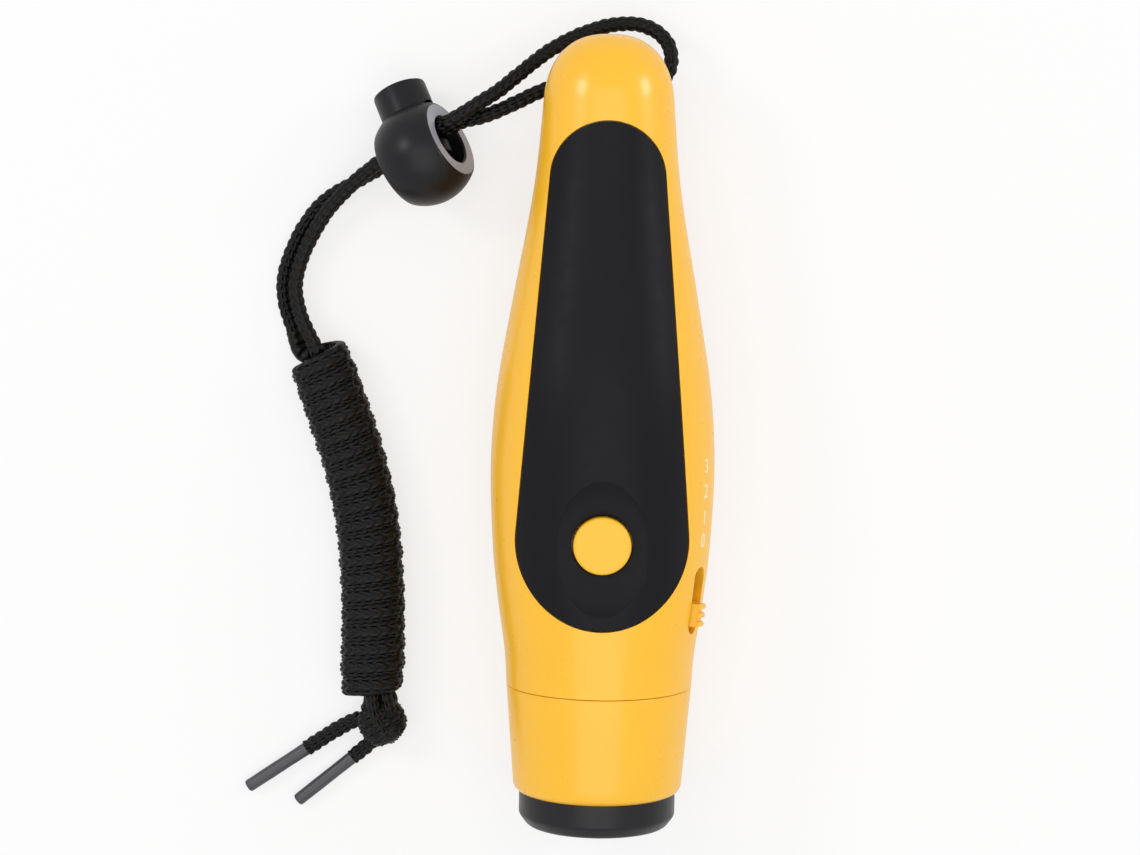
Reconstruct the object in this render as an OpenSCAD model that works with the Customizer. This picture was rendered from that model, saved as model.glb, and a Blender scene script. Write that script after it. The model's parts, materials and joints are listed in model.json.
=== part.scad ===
// Electronic hand whistle with a sound head, a side tone selector and a wrist lanyard.
// Millimetres. The whistle lies on its back: +Y runs to the lanyard end, +Z out of the
// grip panel and +X to the selector side. The origin is on the table under mid-length.

/* [Body] */
// Length of the whistle, from the mouth ring's end face to the tip of the dome
body_len = 140; // [138:0.5:150]
// Width of the grip at its widest section
bulge_w = 39.5; // [38.5:0.1:41]
// Depth of the grip at its widest section
bulge_d = 34; // [33.5:0.1:36]
// Width of the neck where the dome begins
neck_w = 22.9; // [22.4:0.1:24]
// Depth of the neck where the dome begins
neck_d = 20.6; // [20.4:0.1:22]
// Length of the dome
dome_len = 12; // [11:0.5:13]
// Wall thickness of the two body shells
wall = 2.6; // [2.4:0.1:2.8]

/* [Head] */
// Diameter of the round joint between the body and the head
joint_d = 32.9; // [32.5:0.1:33.4]
// Length of the head, from the joint to the end face
head_len = 25.4; // [24.5:0.1:26.5]
// Diameter of the collar at its mouth side
collar_d = 30.2; // [29.9:0.1:30.6]
// Length of the black mouth ring that shows
ring_len = 6.2; // [5.6:0.1:7]
// Diameter of the mouth ring
ring_d = 27.8; // [27.2:0.1:28.4]
// Diameter of the mouth ring's end face
ring_face_d = 24; // [23.4:0.1:24.6]
// Bore of the mouth ring in front of the grille
mouth_d = 21; // [19:0.5:21.5]
// Diameter of the piezo disc
piezo_d = 24; // [22:0.2:24.4]

/* [Grip panel] */
// Radius of the panel's round lower end
panel_low_r = 14.7; // [14.2:0.1:15]
// Radius of the panel's round upper end
panel_top_r = 9.7; // [9:0.1:10]
// Distance between the centres of the panel's two ends
panel_pitch = 63.5; // [61:0.5:65]
// Distance from the body's mid-length back to the centre of the lower end
panel_back = 18.2; // [17.8:0.1:18.6]
// Thickness of the panel
panel_t = 1.5; // [1.2:0.1:1.6]
// Width of the thumb dish
dish_w = 16.2; // [15:0.2:17]
// Length of the thumb dish
dish_len = 23.6; // [22:0.2:24.4]
// Depth of the thumb dish
dish_depth = 2; // [1.4:0.1:2.2]

/* [Controls] */
// Diameter of the push button
button_d = 10; // [8:0.5:11]
// Travel of the push button
button_travel = 0.8; // [0.4:0.1:1]
// Length of the selector's slot
slot_len = 12; // [11:0.5:13]
// Width of the selector's slot
slot_w = 4; // [3.6:0.1:4.4]
// Length of the selector knob along its travel
knob_len = 4.2; // [3.6:0.1:4.8]
// How far the selector knob stands out of the side
knob_out = 1.4; // [1:0.1:1.8]

/* [Power] */
// Diameter of an AAA cell
cell_d = 10.5; // [10:0.1:10.6]
// Length of an AAA cell over its terminals
cell_len = 44.5; // [43.5:0.5:44.5]
// Width of the battery door
door_w = 25; // [24:0.5:26]
// Length of the battery door
door_len = 48; // [46:0.5:49]

/* [Lanyard] */
// Diameter of the braided cord
cord_d = 2.6; // [2.2:0.1:2.6]
// Bore of the lanyard hole through the dome
lanyard_bore = 3.6; // [3.4:0.1:3.8]
// Diameter of the ball of the cord lock
ball_d = 18.4; // [18:0.1:18.6]
// Diameter of the cord lock's plunger
plunger_d = 9.7; // [9.2:0.1:9.8]
// Travel of the cord lock's plunger
plunger_travel = 3.5; // [2:0.1:3.6]
// Turns of cord wound round the wrist grip
grip_turns = 19; // [16:1:19]

/* [Hidden] */

// Clearances
fit = 0.2;        // between pieces that are assembled once
slide_gap = 0.3;  // round a piece that slides or swings

// Colours
amber = [1.0, 0.66, 0.08];
soot = [0.07, 0.07, 0.08];
steel = [0.72, 0.73, 0.75];
brass = [0.80, 0.65, 0.32];
fibreglass = [0.10, 0.36, 0.20];
cord_black = [0.05, 0.05, 0.055];

// ---- Body form -----------------------------------------------------------------------
axis_z = bulge_d / 2;
tip_y = body_len / 2;
mouth_y = -tip_y;
joint_y = mouth_y + head_len;
dome_y = tip_y - dome_len;
bulge_y = mouth_y + 65;
dome_power = 2.4;
neck_slope = -0.06;

// Stations from the joint to the dome: place along the axis, half width, half depth
stations = [
    [joint_y - 12, joint_d / 2 - 0.4, joint_d / 2 - 0.4],
    [joint_y, joint_d / 2, joint_d / 2],
    [joint_y + 6, joint_d / 2 + 0.4, joint_d / 2 + 0.1],
    [joint_y + 14.6, bulge_w / 2 - 1.65, bulge_d / 2 - 0.15],
    [joint_y + 24.6, bulge_w / 2 - 0.55, bulge_d / 2 - 0.25],
    [bulge_y, bulge_w / 2, bulge_d / 2],
    [bulge_y + 13, bulge_w / 2 - 0.9, bulge_d / 2 - 0.3],
    [bulge_y + 28, (bulge_w + neck_w) / 4 + 0.8, (bulge_d + neck_d) / 4 + 0.8],
    [dome_y - 15, neck_w / 2 + 1.45, neck_d / 2 + 1.2],
    [dome_y, neck_w / 2, neck_d / 2],
    [dome_y + 10, neck_w / 2 + 10 * neck_slope, neck_d / 2 + 10 * neck_slope]
];

// Smooth curve through the stations, for the half width (k = 1) or the half depth (k = 2)
function slope(i, k) = (stations[i + 1][k] - stations[i - 1][k]) / (stations[i + 1][0] - stations[i - 1][0]);
function span(y, i = 1) = i >= len(stations) - 3 || y <= stations[i + 1][0] ? i : span(y, i + 1);
function hermite(a, b, ma, mb, t) =
    (1 + 2 * t) * (1 - t) * (1 - t) * a + t * (1 - t) * (1 - t) * ma
    + t * t * (3 - 2 * t) * b - t * t * (1 - t) * mb;
function along(y, k) =
    let (i = span(y), step = stations[i + 1][0] - stations[i][0], t = (y - stations[i][0]) / step)
    hermite(stations[i][k], stations[i + 1][k], step * slope(i, k), step * slope(i + 1, k), t);
function straight(y, k) = stations[len(stations) - 2][k] + neck_slope * (y - dome_y);
function dome(y, inset) =
    let (t = min(1, (y - dome_y) / (dome_len - inset)))
    pow(max(0, 1 - pow(t, dome_power)), 1 / dome_power);
function half(y, k, inset = 0) =
    y <= dome_y ? along(y, k) - inset : (straight(y, k) - inset) * dome(y, inset);

// One section of the body, and where on it a surface angle lies
body_sides = 36;
function at(y, angle, inset = 0) =
    [half(y, 1, inset) * cos(angle), y, axis_z + half(y, 2, inset) * sin(angle)];
function section(y, inset = 0) =
    [for (i = [0:body_sides - 1]) at(y, 360 * i / body_sides, inset)];

// Places of the sections: even along the grip, closer up round the dome
grip_steps = 17;
dome_steps = 6;
function section_places(from, inset) = concat(
    [for (i = [0:grip_steps]) from + (dome_y - from) * i / grip_steps],
    [for (i = [1:dome_steps]) dome_y + (dome_len - inset) * sin(88 * i / dome_steps)]
);

// Closed solid through rings of equal count: end caps are fans
module loft(rings) {
    n = len(rings[0]);
    last = len(rings) - 1;
    points = [for (ring = rings) each ring];
    sides = [for (r = [0:last - 1], i = [0:n - 1], half_face = [0, 1])
        let (a = r * n + i, b = r * n + (i + 1) % n)
        half_face == 0 ? [a, b, b + n] : [a, b + n, a + n]];
    polyhedron(points, concat(
        sides,
        [[for (i = [n - 1:-1:0]) i]],
        [[for (i = [0:n - 1]) last * n + i]]
    ), convexity = 6);
}
module body_form(inset = 0, from = joint_y) {
    loft([for (y = section_places(from, inset)) section(y, inset)]);
}

// Half spaces in front of and behind the parting plane
big = 2 * body_len;
module front_half() { translate([-big / 2, -big / 2, axis_z]) cube(big); }
module back_half() { translate([-big / 2, -big / 2, axis_z - big]) cube(big); }

// ---- Panel, dish and button ------------------------------------------------------------
panel_low_y = mouth_y + tip_y - panel_back;
panel_top_y = panel_low_y + panel_pitch;
button_y = panel_low_y + 0.4;
button_r = button_d / 2;
button_top = axis_z + bulge_d / 2 - 0.3;
pad_low = axis_z + bulge_d / 2 - dish_depth - 2.4;
pad_margin = 1.1;
flange_r = button_r + 1.2;
flange_t = 1.2;

// ---- Circuit board stack ---------------------------------------------------------------
board_t = 1.6;
board_low = axis_z + 4;
board_top = board_low + board_t;
board_near = joint_y + 10.4;
board_far = board_near + 48;
board_half = 13.4;
tact_size = 6.2;
tact_h = 3.5;
stem_r = 1.6;
stem_top = board_top + tact_h + 1.5;
// Room above the board: to the thumb pad, and to the shell's inner wall beside the capacitor
coil_room = 1.3;
coil_h = pad_low - board_top - coil_room;
capacitor_r = 3.15;
capacitor_x = 5;
capacitor_y = button_y + 17;
capacitor_room = 0.65;
function wall_above(x, y) = axis_z + half(y, 2, wall) * sqrt(1 - pow(x / half(y, 1, wall), 2));
capacitor_h = wall_above(capacitor_x + capacitor_r, capacitor_y) - board_top - capacitor_room;
board_post_r = 2.4;
board_screw_r = 1.0;
board_screw_places = [[11.6, board_far - 5], [-11.6, board_far - 5], [-11, board_near + 6]];

// ---- Selector --------------------------------------------------------------------------
slot_y = joint_y + 16.1;
slot_angle = 23;
slot_tilt = atan(tan(slot_angle) * half(slot_y, 1) / half(slot_y, 2));
// The side rises faster here than it does on average from the joint to the widest section
slot_yaw = atan(1.304 * (bulge_w - joint_d) / 2 / (bulge_y - joint_y));
knob_end = 1.45;   // left past the knob at the slot's round ends
knob_travel = slot_len - knob_len - 2 * knob_end;
knob_w = slot_w - 2 * slide_gap;
knob_flange = 0.8;
lever_w = 1.8;
lever_tip = -wall + 0.5;
switch_face = -wall - 1.6;
switch_depth = 4.6;
switch_len = slot_len + 2.4;
switch_w = 5.8;
window_depth = 1.2;

// ---- Battery bay -----------------------------------------------------------------------
bay_mid = bulge_y + 1.6;
cell_x = cell_d / 2 + 0.35;
cell_z = axis_z - 5.3;
door_mid = bay_mid;
door_hook_len = 2.4;
door_hook_w = 3;
door_hook_t = 1;
contact_t = 0.4;
plate_w = 7;
nub_r = 1.9;
nub_h = 1;
spring_r = 3.2;
spring_gap = 3.4;
plate_gap = 0.5;
tray_wall = 1;
tray_low = axis_z - 5.2;
lead_d = 1.1;
lead_x = cell_x - 0.6;
lead_z = cell_z + 2.8;
tray_len = cell_len + spring_gap + plate_gap + 2 * contact_t + 2 * tray_wall;

// ---- Head ------------------------------------------------------------------------------
collar_end = mouth_y + ring_len;
spigot_len = 3.6;
spigot_r = joint_d / 2 - wall - fit;
collar_wall = 1.5;
collar_bevel = 1.1;
head_bore_r = collar_d / 2 - collar_wall;
spigot_wall = 1.3;
ring_plug_len = 5;
ring_plug_r = head_bore_r - fit;
face_bevel = 2.9;
grille_t = 1.5;
grille_front = mouth_y + 3.1;
piezo_t = 0.3;
ceramic_t = 0.3;
cup_r = head_bore_r - fit;
cup_front = collar_end + ring_plug_len + 1.9;
cup_back = joint_y - 4.9;
ledge_y = cup_front + 1.3;
piezo_y = ledge_y + 0.8;
foam_len = 3.6;

// ---- Lanyard ---------------------------------------------------------------------------
hole_y = dome_y + 3;
hole_z = axis_z - 7.1;
tunnel_wall = 1;
ball_r = ball_d / 2;
ball_place = [-32.5, 48.5, ball_r];
// Directions of the ball's cord hole and of its plunger, square to each other
hole_dir = [0.810, 0.476, 0.343];
plunger_dir = [-0.380, 0.871, -0.311];
rim_cut = 5.8;
ball_hole_d = 8.9;
plunger_out = 12.9;
plunger_hole_d = 7.9;
plunger_hole_at = 4.45;
plunger_foot = -1.6;
spring_floor = -7.6;
spring_wire = 0.7;
spring_turns = 4;

// Cord from the grip's core through the ball, round the dome, through the hole and back
cord_route = [
    [-53.0, 15.6, 4.3], [-54.4, 18.4, 3.8], [-55.3, 21.4, 3.4], [-55.7, 24.4, 3.2],
    [-55.1, 27.8, 3.2], [-53.9, 31.2, 3.2], [-52.1, 34.8, 3.4], [-50.1, 37.9, 3.9],
    [-47.8, 40.6, 4.6], [-45.4, 43.0, 5.4], [-43.0, 45.1, 6.1], [-40.6, 47.0, 7.0],
    [-38.8, 48.1, 7.7], [-34.1, 50.8, 9.7], [-29.4, 53.6, 11.7], [-27.0, 55.0, 12.5],
    [-23.4, 57.3, 12.4], [-19.6, 59.8, 11.8], [-16.2, 62.6, 10.6], [-13.0, 65.3, 9.2],
    [-9.4, 67.9, 7.8], [-5.6, 69.9, 6.7], [-1.6, 71.4, 6.1], [2.2, 72.1, 5.9],
    [5.4, 72.0, 6.1], [8.2, 70.9, 6.7], [10.0, 69.2, 7.5], [10.9, 67.2, 8.4],
    [10.9, 65.0, 9.2], [10.1, 63.0, 9.7], [8.6, 61.6, 9.9], [6.4, 61.0, 9.9],
    [0.0, 61.0, 9.9], [-6.4, 61.0, 9.9], [-9.4, 60.8, 10.0], [-12.6, 59.7, 10.2],
    [-15.8, 58.1, 10.5], [-19.2, 56.5, 10.6], [-22.6, 55.2, 10.5], [-25.8, 54.4, 9.9],
    [-28.1, 53.3, 9.1], [-32.8, 50.5, 7.1], [-37.5, 47.7, 5.2], [-39.6, 46.4, 4.3],
    [-42.2, 44.9, 3.2], [-45.2, 43.2, 2.1], [-48.6, 41.3, 1.5], [-51.7, 38.8, 1.3],
    [-54.3, 35.3, 1.3], [-56.2, 31.6, 1.3], [-57.5, 28.0, 1.3], [-58.1, 24.4, 1.3],
    [-57.7, 20.8, 1.3]
];
// Centre line of the wrist grip, from its upper end to the knot
grip_route = [
    [-51.4, 12.0], [-47.8, 2.2], [-44.5, -7.7], [-42.3, -17.9], [-41.3, -28.2],
    [-41.0, -38.6], [-41.2, -49.0]
];
grip_half_w = 4.3;
grip_half_h = 3.3;
grip_z = grip_half_h + cord_d / 2;
grip_bend = 3;
// The two tails below the knot, each ending in its tip
tail_routes = [
    [
        [-43.4, -54.6, 2.2], [-45.8, -55.8, 1.6], [-48.4, -57.4, 1.3], [-51.0, -59.1, 1.3],
        [-53.2, -60.6, 1.3]
    ],
    [[-40.2, -57.8, 2.2], [-41.6, -59.3, 1.6], [-43.1, -60.7, 1.3], [-44.8, -62.1, 1.3]]
];
tip_len = 13;
tip_d = cord_d - 0.2;

// Unit vector, and a frame that turns +Z to dir and +X to side
function unit(v) = v / norm(v);
module aimed(place, dir, side) {
    z = unit(dir);
    y = unit(cross(z, side));
    x = cross(y, z);
    multmatrix([
        [x[0], y[0], z[0], place[0]],
        [x[1], y[1], z[1], place[1]],
        [x[2], y[2], z[2], place[2]]
    ]) children();
}

// Tube along points: each ring stands square to the way past its point
function way(p, i) = unit(p[min(i + 1, len(p) - 1)] - p[max(i - 1, 0)]);
function carried(n, t) = unit(n - (n * t) * t);
function normals(p, n, i = 0, out = []) =
    i == len(p) ? out : let (m = carried(n, way(p, i))) normals(p, m, i + 1, concat(out, [m]));
function tube_rings(p, r, sides, side) =
    let (n = normals(p, side))
    [for (i = [0:len(p) - 1]) let (b = cross(way(p, i), n[i]))
        [for (k = [0:sides - 1]) let (a = -360 * k / sides) p[i] + r * (cos(a) * n[i] + sin(a) * b)]];
module tube(p, d, sides = 8, side = [0, 0, 1]) { loft(tube_rings(p, d / 2, sides, side)); }

// ---- Shell screws ----------------------------------------------------------------------
screw_places = [[10.5, joint_y + 6.6], [-10.5, joint_y + 6.6], [6, dome_y - 12], [-6, dome_y - 12]];
screw_floor = axis_z - 5.6;
screw_len = 10;
screw_r = 1.1;
screw_head_r = 1.9;
screw_head_h = 1.7;

// ---- Shared outlines -------------------------------------------------------------------
module panel_outline(grow = 0) {
    hull() {
        translate([0, panel_low_y]) circle(panel_low_r + grow, $fn = 56);
        translate([0, panel_top_y]) circle(panel_top_r + grow, $fn = 40);
    }
}
module panel_prism(grow = 0) { translate([0, 0, axis_z]) linear_extrude(big) panel_outline(grow); }
module door_prism(grow = 0) {
    corner = 3;
    translate([0, 0, -1]) linear_extrude(axis_z) hull() for (x = [-1, 1], y = [-1, 1])
        translate([x * (door_w / 2 - corner), door_mid + y * (door_len / 2 - corner)])
            circle(corner + grow, $fn = 24);
}
module oval(w, h, z, t) {
    translate([0, panel_low_y - 0.2, z]) scale([w / 2, h / 2, 1]) cylinder(r = 1, h = t, $fn = 44);
}
// Dish under the thumb: an oval bowl in slices, widest at the panel's crown
module dish_bowl() {
    crown = axis_z + bulge_d / 2;
    turns = [for (i = [0:6]) 13.5 * i];
    for (i = [0:5]) hull() for (a = [turns[i], turns[i + 1]])
        oval(dish_w * cos(a), dish_len * cos(a), crown - dish_depth * pow(sin(a), 0.8), 0.01);
    oval(dish_w, dish_len, crown - 0.01, 2);
}

// ---- Shells ----------------------------------------------------------------------------
module skin() {
    difference() {
        body_form();
        body_form(wall, joint_y - 1);
    }
}
// Post that grows out of a shell's inner wall
module post(x, y, low, high, r) {
    intersection() {
        hull() {
            translate([x, y, low]) cylinder(r = r, h = 0.1, $fn = 20);
            translate([x, y, high]) cylinder(r = r, h = 0.1, $fn = 20);
        }
        body_form(wall / 2);
    }
}
module slot_frame() {
    translate(at(slot_y, slot_angle)) rotate([0, 0, -slot_yaw]) rotate([0, -slot_tilt, 0]) children();
}
// Rounded bar along the slot frame's travel, from one depth to another
module slot_bar(low, high, length, width) {
    hull() for (y = [-1, 1]) translate([low, y * (length - width) / 2, 0])
        rotate([0, 90, 0]) cylinder(d = width, h = high - low, $fn = 32);
}
module front_shell() {
    color(amber) difference() {
        union() {
            intersection() {
                skin();
                front_half();
            }
            for (p = board_screw_places) post(p[0], p[1], board_top, big / 8, board_post_r);
            for (p = screw_places) post(p[0], p[1], axis_z, big / 8, screw_r + 1.5);
        }
        difference() {
            panel_prism(fit);
            body_form(panel_t);
        }
        oval(dish_w + 2 * pad_margin + 2 * fit, dish_len + 2 * pad_margin + 2 * fit, axis_z + 5, axis_z);
        slot_frame() slot_bar(-wall - 2, 3, slot_len, slot_w);
        for (p = board_screw_places) translate([p[0], p[1], 0])
            cylinder(r = board_screw_r + 0.05, h = board_top + 3, $fn = 18);
        for (p = screw_places) translate([p[0], p[1], axis_z - 1])
            cylinder(r = screw_r + 0.05, h = screw_len, $fn = 18);
        head_socket();
    }
}
// Round socket in the shells' open end that takes the head's spigot
module head_socket() {
    translate([0, joint_y + spigot_len + fit, axis_z]) rotate([90, 0, 0])
        cylinder(r = spigot_r + fit, h = 2 * spigot_len, $fn = 72);
}
module lanyard_tunnel(d, length) {
    translate([-length / 2, hole_y, hole_z]) rotate([0, 90, 0]) cylinder(d = d, h = length, $fn = 24);
}
module back_shell() {
    color(amber) difference() {
        union() {
            intersection() {
                skin();
                back_half();
            }
            for (p = screw_places) post(p[0], p[1], -1, axis_z, screw_head_r + 1.3);
            intersection() {
                union() {
                    lanyard_tunnel(lanyard_bore + 2 * tunnel_wall, neck_w);
                    translate([0, hole_y, hole_z - lanyard_bore])
                        cube([neck_w, lanyard_bore + 2 * tunnel_wall, 2 * lanyard_bore], center = true);
                }
                body_form(wall / 2);
            }
        }
        lanyard_tunnel(lanyard_bore, 2 * neck_w);
        door_prism(slide_gap);
        door_notch();
        for (p = screw_places) translate([p[0], p[1], 0]) {
            hull() for (z = [-1, screw_floor - 0.1]) translate([0, 0, z])
                cylinder(r = screw_head_r + fit, h = 0.1, $fn = 20);
            cylinder(r = screw_r + fit, h = big, $fn = 16);
        }
        head_socket();
    }
}

// ---- Panel and button ------------------------------------------------------------------
module grip_panel() {
    color(soot) difference() {
        union() {
            intersection() {
                difference() {
                    body_form();
                    body_form(panel_t);
                }
                panel_prism();
            }
            intersection() {
                hull() {
                    oval(dish_w + 2 * pad_margin, dish_len + 2 * pad_margin, pad_low, 0.1);
                    oval(dish_w + 2 * pad_margin, dish_len + 2 * pad_margin, big / 8, 0.1);
                }
                body_form(panel_t / 2);
            }
        }
        dish_bowl();
        translate([0, button_y, 0]) cylinder(r = button_r + slide_gap, h = big, $fn = 64);
    }
}
module push_button() {
    edge = 0.5;
    low = pad_low - slide_gap;
    color(amber) translate([0, button_y, 0]) rotate_extrude($fn = 72) polygon([
        [0, stem_top], [stem_r + 0.4, stem_top], [stem_r + 0.4, low - flange_t],
        [flange_r, low - flange_t], [flange_r, low], [button_r, low],
        [button_r, button_top - edge],
        [button_r - 0.15, button_top - 0.15], [button_r - edge, button_top], [0, button_top]
    ]);
}
module button_stem() {
    color(amber) translate([0, button_y, board_top + tact_h - button_travel - 0.2])
        cylinder(r = stem_r, h = stem_top - board_top - tact_h + button_travel + 0.2, $fn = 36);
}
module tact_switch() {
    deep = 2 * button_travel + 0.5;
    color("dimgray") difference() {
        translate([-tact_size / 2, button_y - tact_size / 2, board_top])
            cube([tact_size, tact_size, tact_h]);
        translate([0, button_y, board_top + tact_h - deep])
            cylinder(r = stem_r + slide_gap, h = deep + 1, $fn = 36);
    }
}

// ---- Selector --------------------------------------------------------------------------
module selector_knob() {
    low = -wall - 0.5;
    ridge = 0.6;
    color(amber) slot_frame() translate([0, -knob_travel / 2, 0]) difference() {
        union() {
            translate([low - knob_flange, -knob_len / 2 - 1, -slot_w / 2 - 0.5])
                cube([knob_flange, knob_len + 2, slot_w + 1]);
            translate([low, -knob_len / 2, -knob_w / 2]) cube([knob_out - 0.5 - low, knob_len, knob_w]);
            for (i = [-1:1]) translate([knob_out - 0.5, i * (knob_len - ridge) / 2 - ridge / 2, -knob_w / 2])
                cube([0.5, ridge, knob_w]);
        }
        translate([low - 1, -lever_w / 2 - 0.1, -lever_w / 2 - 0.1])
            cube([lever_tip - low + 1.1, lever_w + 0.2, lever_w + 0.2]);
    }
}
module selector_lever() {
    color(steel) slot_frame() translate([switch_face - window_depth + 0.2, -knob_travel / 2, 0])
        translate([0, -lever_w / 2, -lever_w / 2])
            cube([lever_tip - switch_face + window_depth - 0.2, lever_w, lever_w]);
}
module selector_switch() {
    travel = knob_travel + lever_w + 2 * slide_gap;
    color(steel) slot_frame() difference() {
        translate([switch_face - switch_depth, -switch_len / 2, -switch_w / 2])
            cube([switch_depth, switch_len, switch_w]);
        translate([switch_face - window_depth, -travel / 2, -lever_w / 2 - slide_gap])
            cube([window_depth + 1, travel, lever_w + 2 * slide_gap]);
    }
}

// ---- Battery bay -----------------------------------------------------------------------
door_y0 = door_mid - door_len / 2;
door_y1 = door_mid + door_len / 2;
// Hook past the door's far edge, between the cells, and the catch past its near edge
module door_hook() {
    low = at(door_y1 + door_hook_len, -90)[2] + wall + 0.4;
    foot = at(door_y1 - 4, -90)[2] + wall - 0.6;
    translate([-door_hook_w / 2, door_y1 - 4, foot]) cube([door_hook_w, 3, low + door_hook_t - foot]);
    translate([-door_hook_w / 2, door_y1 - 4, low]) cube([door_hook_w, 4 + door_hook_len, door_hook_t]);
}
groove_pitch = 1.8;
groove_r = 0.7;
catch_w = 8;
catch_out = 0.9;
catch_top = at(door_y0, -90)[2] + wall - 0.6;
module door_catch() {
    translate([-catch_w / 2, door_y0 - catch_out, catch_top - 0.8]) cube([catch_w, catch_out + 0.3, 0.8]);
}
// Finger notch in the shell that the catch swings out through
module door_notch() {
    translate([-catch_w / 2 - slide_gap, door_y0 - catch_out - slide_gap, -1])
        cube([catch_w + 2 * slide_gap, catch_out + 1, catch_top + slide_gap + 1]);
}
module battery_door() {
    color(amber) difference() {
        union() {
            intersection() {
                skin();
                door_prism();
            }
            door_catch();
            door_hook();
        }
        for (i = [0:6]) let (y = door_y0 + 4 + groove_pitch * i) hull() for (x = [-1, 1])
            translate([x * (5 - 0.5 * i), y, at(y, -90)[2] - 0.3]) sphere(groove_r, $fn = 10);
    }
}
module cell_places() {
    for (x = [-1, 1]) translate([x * cell_x, bay_mid, cell_z]) rotate([90, 0, 0]) children();
}
module battery_tray() {
    out_r = cell_d / 2 + 0.25 + tray_wall;
    inner = tray_len - 2 * tray_wall;
    color("dimgray") difference() {
        intersection() {
            union() {
                cell_places() cylinder(r = out_r, h = tray_len, center = true, $fn = 64);
                translate([-cell_x, bay_mid - tray_len / 2, tray_low])
                    cube([2 * cell_x, tray_len, out_r - 1]);
            }
            translate([-big / 2, -big / 2, tray_low]) cube(big);
        }
        cell_places() cylinder(r = out_r - tray_wall, h = inner, center = true, $fn = 64);
        for (x = [-1, 1]) translate([x * lead_x - 1, bay_mid - tray_len / 2 - 1, lead_z - 1])
            cube([2, 2 + tray_wall, 2]);
        translate([-cell_x, bay_mid + inner / 2 - contact_t - fit, cell_z - plate_w / 2 - fit])
            cube([2 * cell_x, contact_t + fit, plate_w + 2 * fit]);
    }
}
// A cell along Y with its raised terminal towards +Y (end = 1) or -Y (end = -1)
module cell(x, end) {
    gap = (spring_gap - plate_gap) / 2;
    color([0.25, 0.45, 0.35]) translate([x * cell_x, bay_mid + end * gap, cell_z]) rotate([-90 * end, 0, 0])
        rotate_extrude($fn = 64) polygon([
            [0, -cell_len / 2], [cell_d / 2 - 0.5, -cell_len / 2], [cell_d / 2, -cell_len / 2 + 0.5],
            [cell_d / 2, cell_len / 2 - nub_h - 0.5], [cell_d / 2 - 0.5, cell_len / 2 - nub_h],
            [nub_r, cell_len / 2 - nub_h], [nub_r, cell_len / 2], [0, cell_len / 2]
        ]);
}
module cell_left() { cell(-1, 1); }
module cell_right() { cell(1, -1); }
plate_y = tray_len / 2 - tray_wall - contact_t;
module contact_spring(x, end) {
    turns = 3;
    steps = 8;
    wire = 0.6;
    long = spring_gap - wire - 0.1;
    path = [for (i = [0:turns * steps]) let (a = 360 * i / steps, f = i / (turns * steps)) [
        x * cell_x + (spring_r - f) * cos(a),
        bay_mid - end * (plate_y - wire / 2 - 0.05 - long * f),
        cell_z + (spring_r - f) * sin(a)
    ]];
    tube(path, wire, 5, [0, 1, 0]);
}
module contact_springs() {
    color(steel) {
        contact_spring(-1, 1);
        contact_spring(1, -1);
    }
}
module contact_plates() {
    color(steel) {
        for (x = [-1, 1])
            translate([x * cell_x - plate_w / 2, bay_mid - plate_y - contact_t, cell_z - plate_w / 2])
                cube([plate_w, contact_t, plate_w]);
        translate([-cell_x - plate_w / 2, bay_mid + plate_y, cell_z - plate_w / 2])
            cube([2 * cell_x + plate_w, contact_t, plate_w]);
    }
}

// ---- Electronics -----------------------------------------------------------------------
module circuit_board() {
    color(fibreglass) difference() {
        translate([0, 0, board_low]) linear_extrude(board_t) polygon([
            [-board_half + 1.4, board_near], [5, board_near], [5, slot_y + switch_len / 2 + 1.4],
            [board_half, slot_y + switch_len / 2 + 1.4], [board_half, board_far - 6],
            [board_half - 1, board_far], [-board_half + 1, board_far], [-board_half, board_far - 6],
            [-board_half, board_near + 16]
        ]);
        for (p = board_screw_places) translate([p[0], p[1], board_low - 1])
            cylinder(r = board_screw_r + 0.2, h = board_t + 2, $fn = 24);
    }
}
module board_screws() {
    color(steel) for (p = board_screw_places) translate([p[0], p[1], board_low]) rotate([180, 0, 0])
        rotate_extrude($fn = 36) polygon([
            [0, -board_t - 2.8], [board_screw_r, -board_t - 2.8], [board_screw_r, 0],
            [1.8, 0], [1.8, 0.7], [1.2, 1.2], [0, 1.2]
        ]);
}
module controller_chip() {
    color(soot) translate([-9.5, button_y + 6, board_top]) {
        translate([0, 0, 0.3]) cube([4, 5, 1.5]);
        for (y = [0:3]) translate([-1, 0.4 + 1.25 * y, 0]) cube([6, 0.4, 0.5]);
    }
}
module boost_coil() {
    color("sienna") translate([5, button_y + 11, board_top]) rotate_extrude($fn = 48) polygon([
        [0, 0], [4, 0], [4, 1], [3.4, 1.3], [3.4, coil_h - 1.3], [4, coil_h - 1],
        [4, coil_h], [0, coil_h]
    ]);
}
module storage_capacitor() {
    r = capacitor_r;
    color("midnightblue") translate([-capacitor_x, capacitor_y, board_top])
        rotate_extrude($fn = 48) polygon([
            [0, 0], [r - 0.25, 0], [r - 0.05, 0.3], [r - 0.05, 0.9], [r - 0.25, 1.2], [r, 1.5],
            [r, capacitor_h - 0.4], [r - 0.35, capacitor_h], [0, capacitor_h]
        ]);
}
module driver_transistor() {
    color(soot) translate([5, button_y + 20, board_top]) {
        intersection() {
            translate([0, 0, 1]) cylinder(d = 4.8, h = 4.5, $fn = 48);
            translate([-3, -1.6, 0]) cube([6, 6, 6]);
        }
        for (x = [-1.27, 0, 1.27]) translate([x - 0.22, -0.22, 0]) cube([0.44, 0.44, 1.2]);
    }
}

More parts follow.
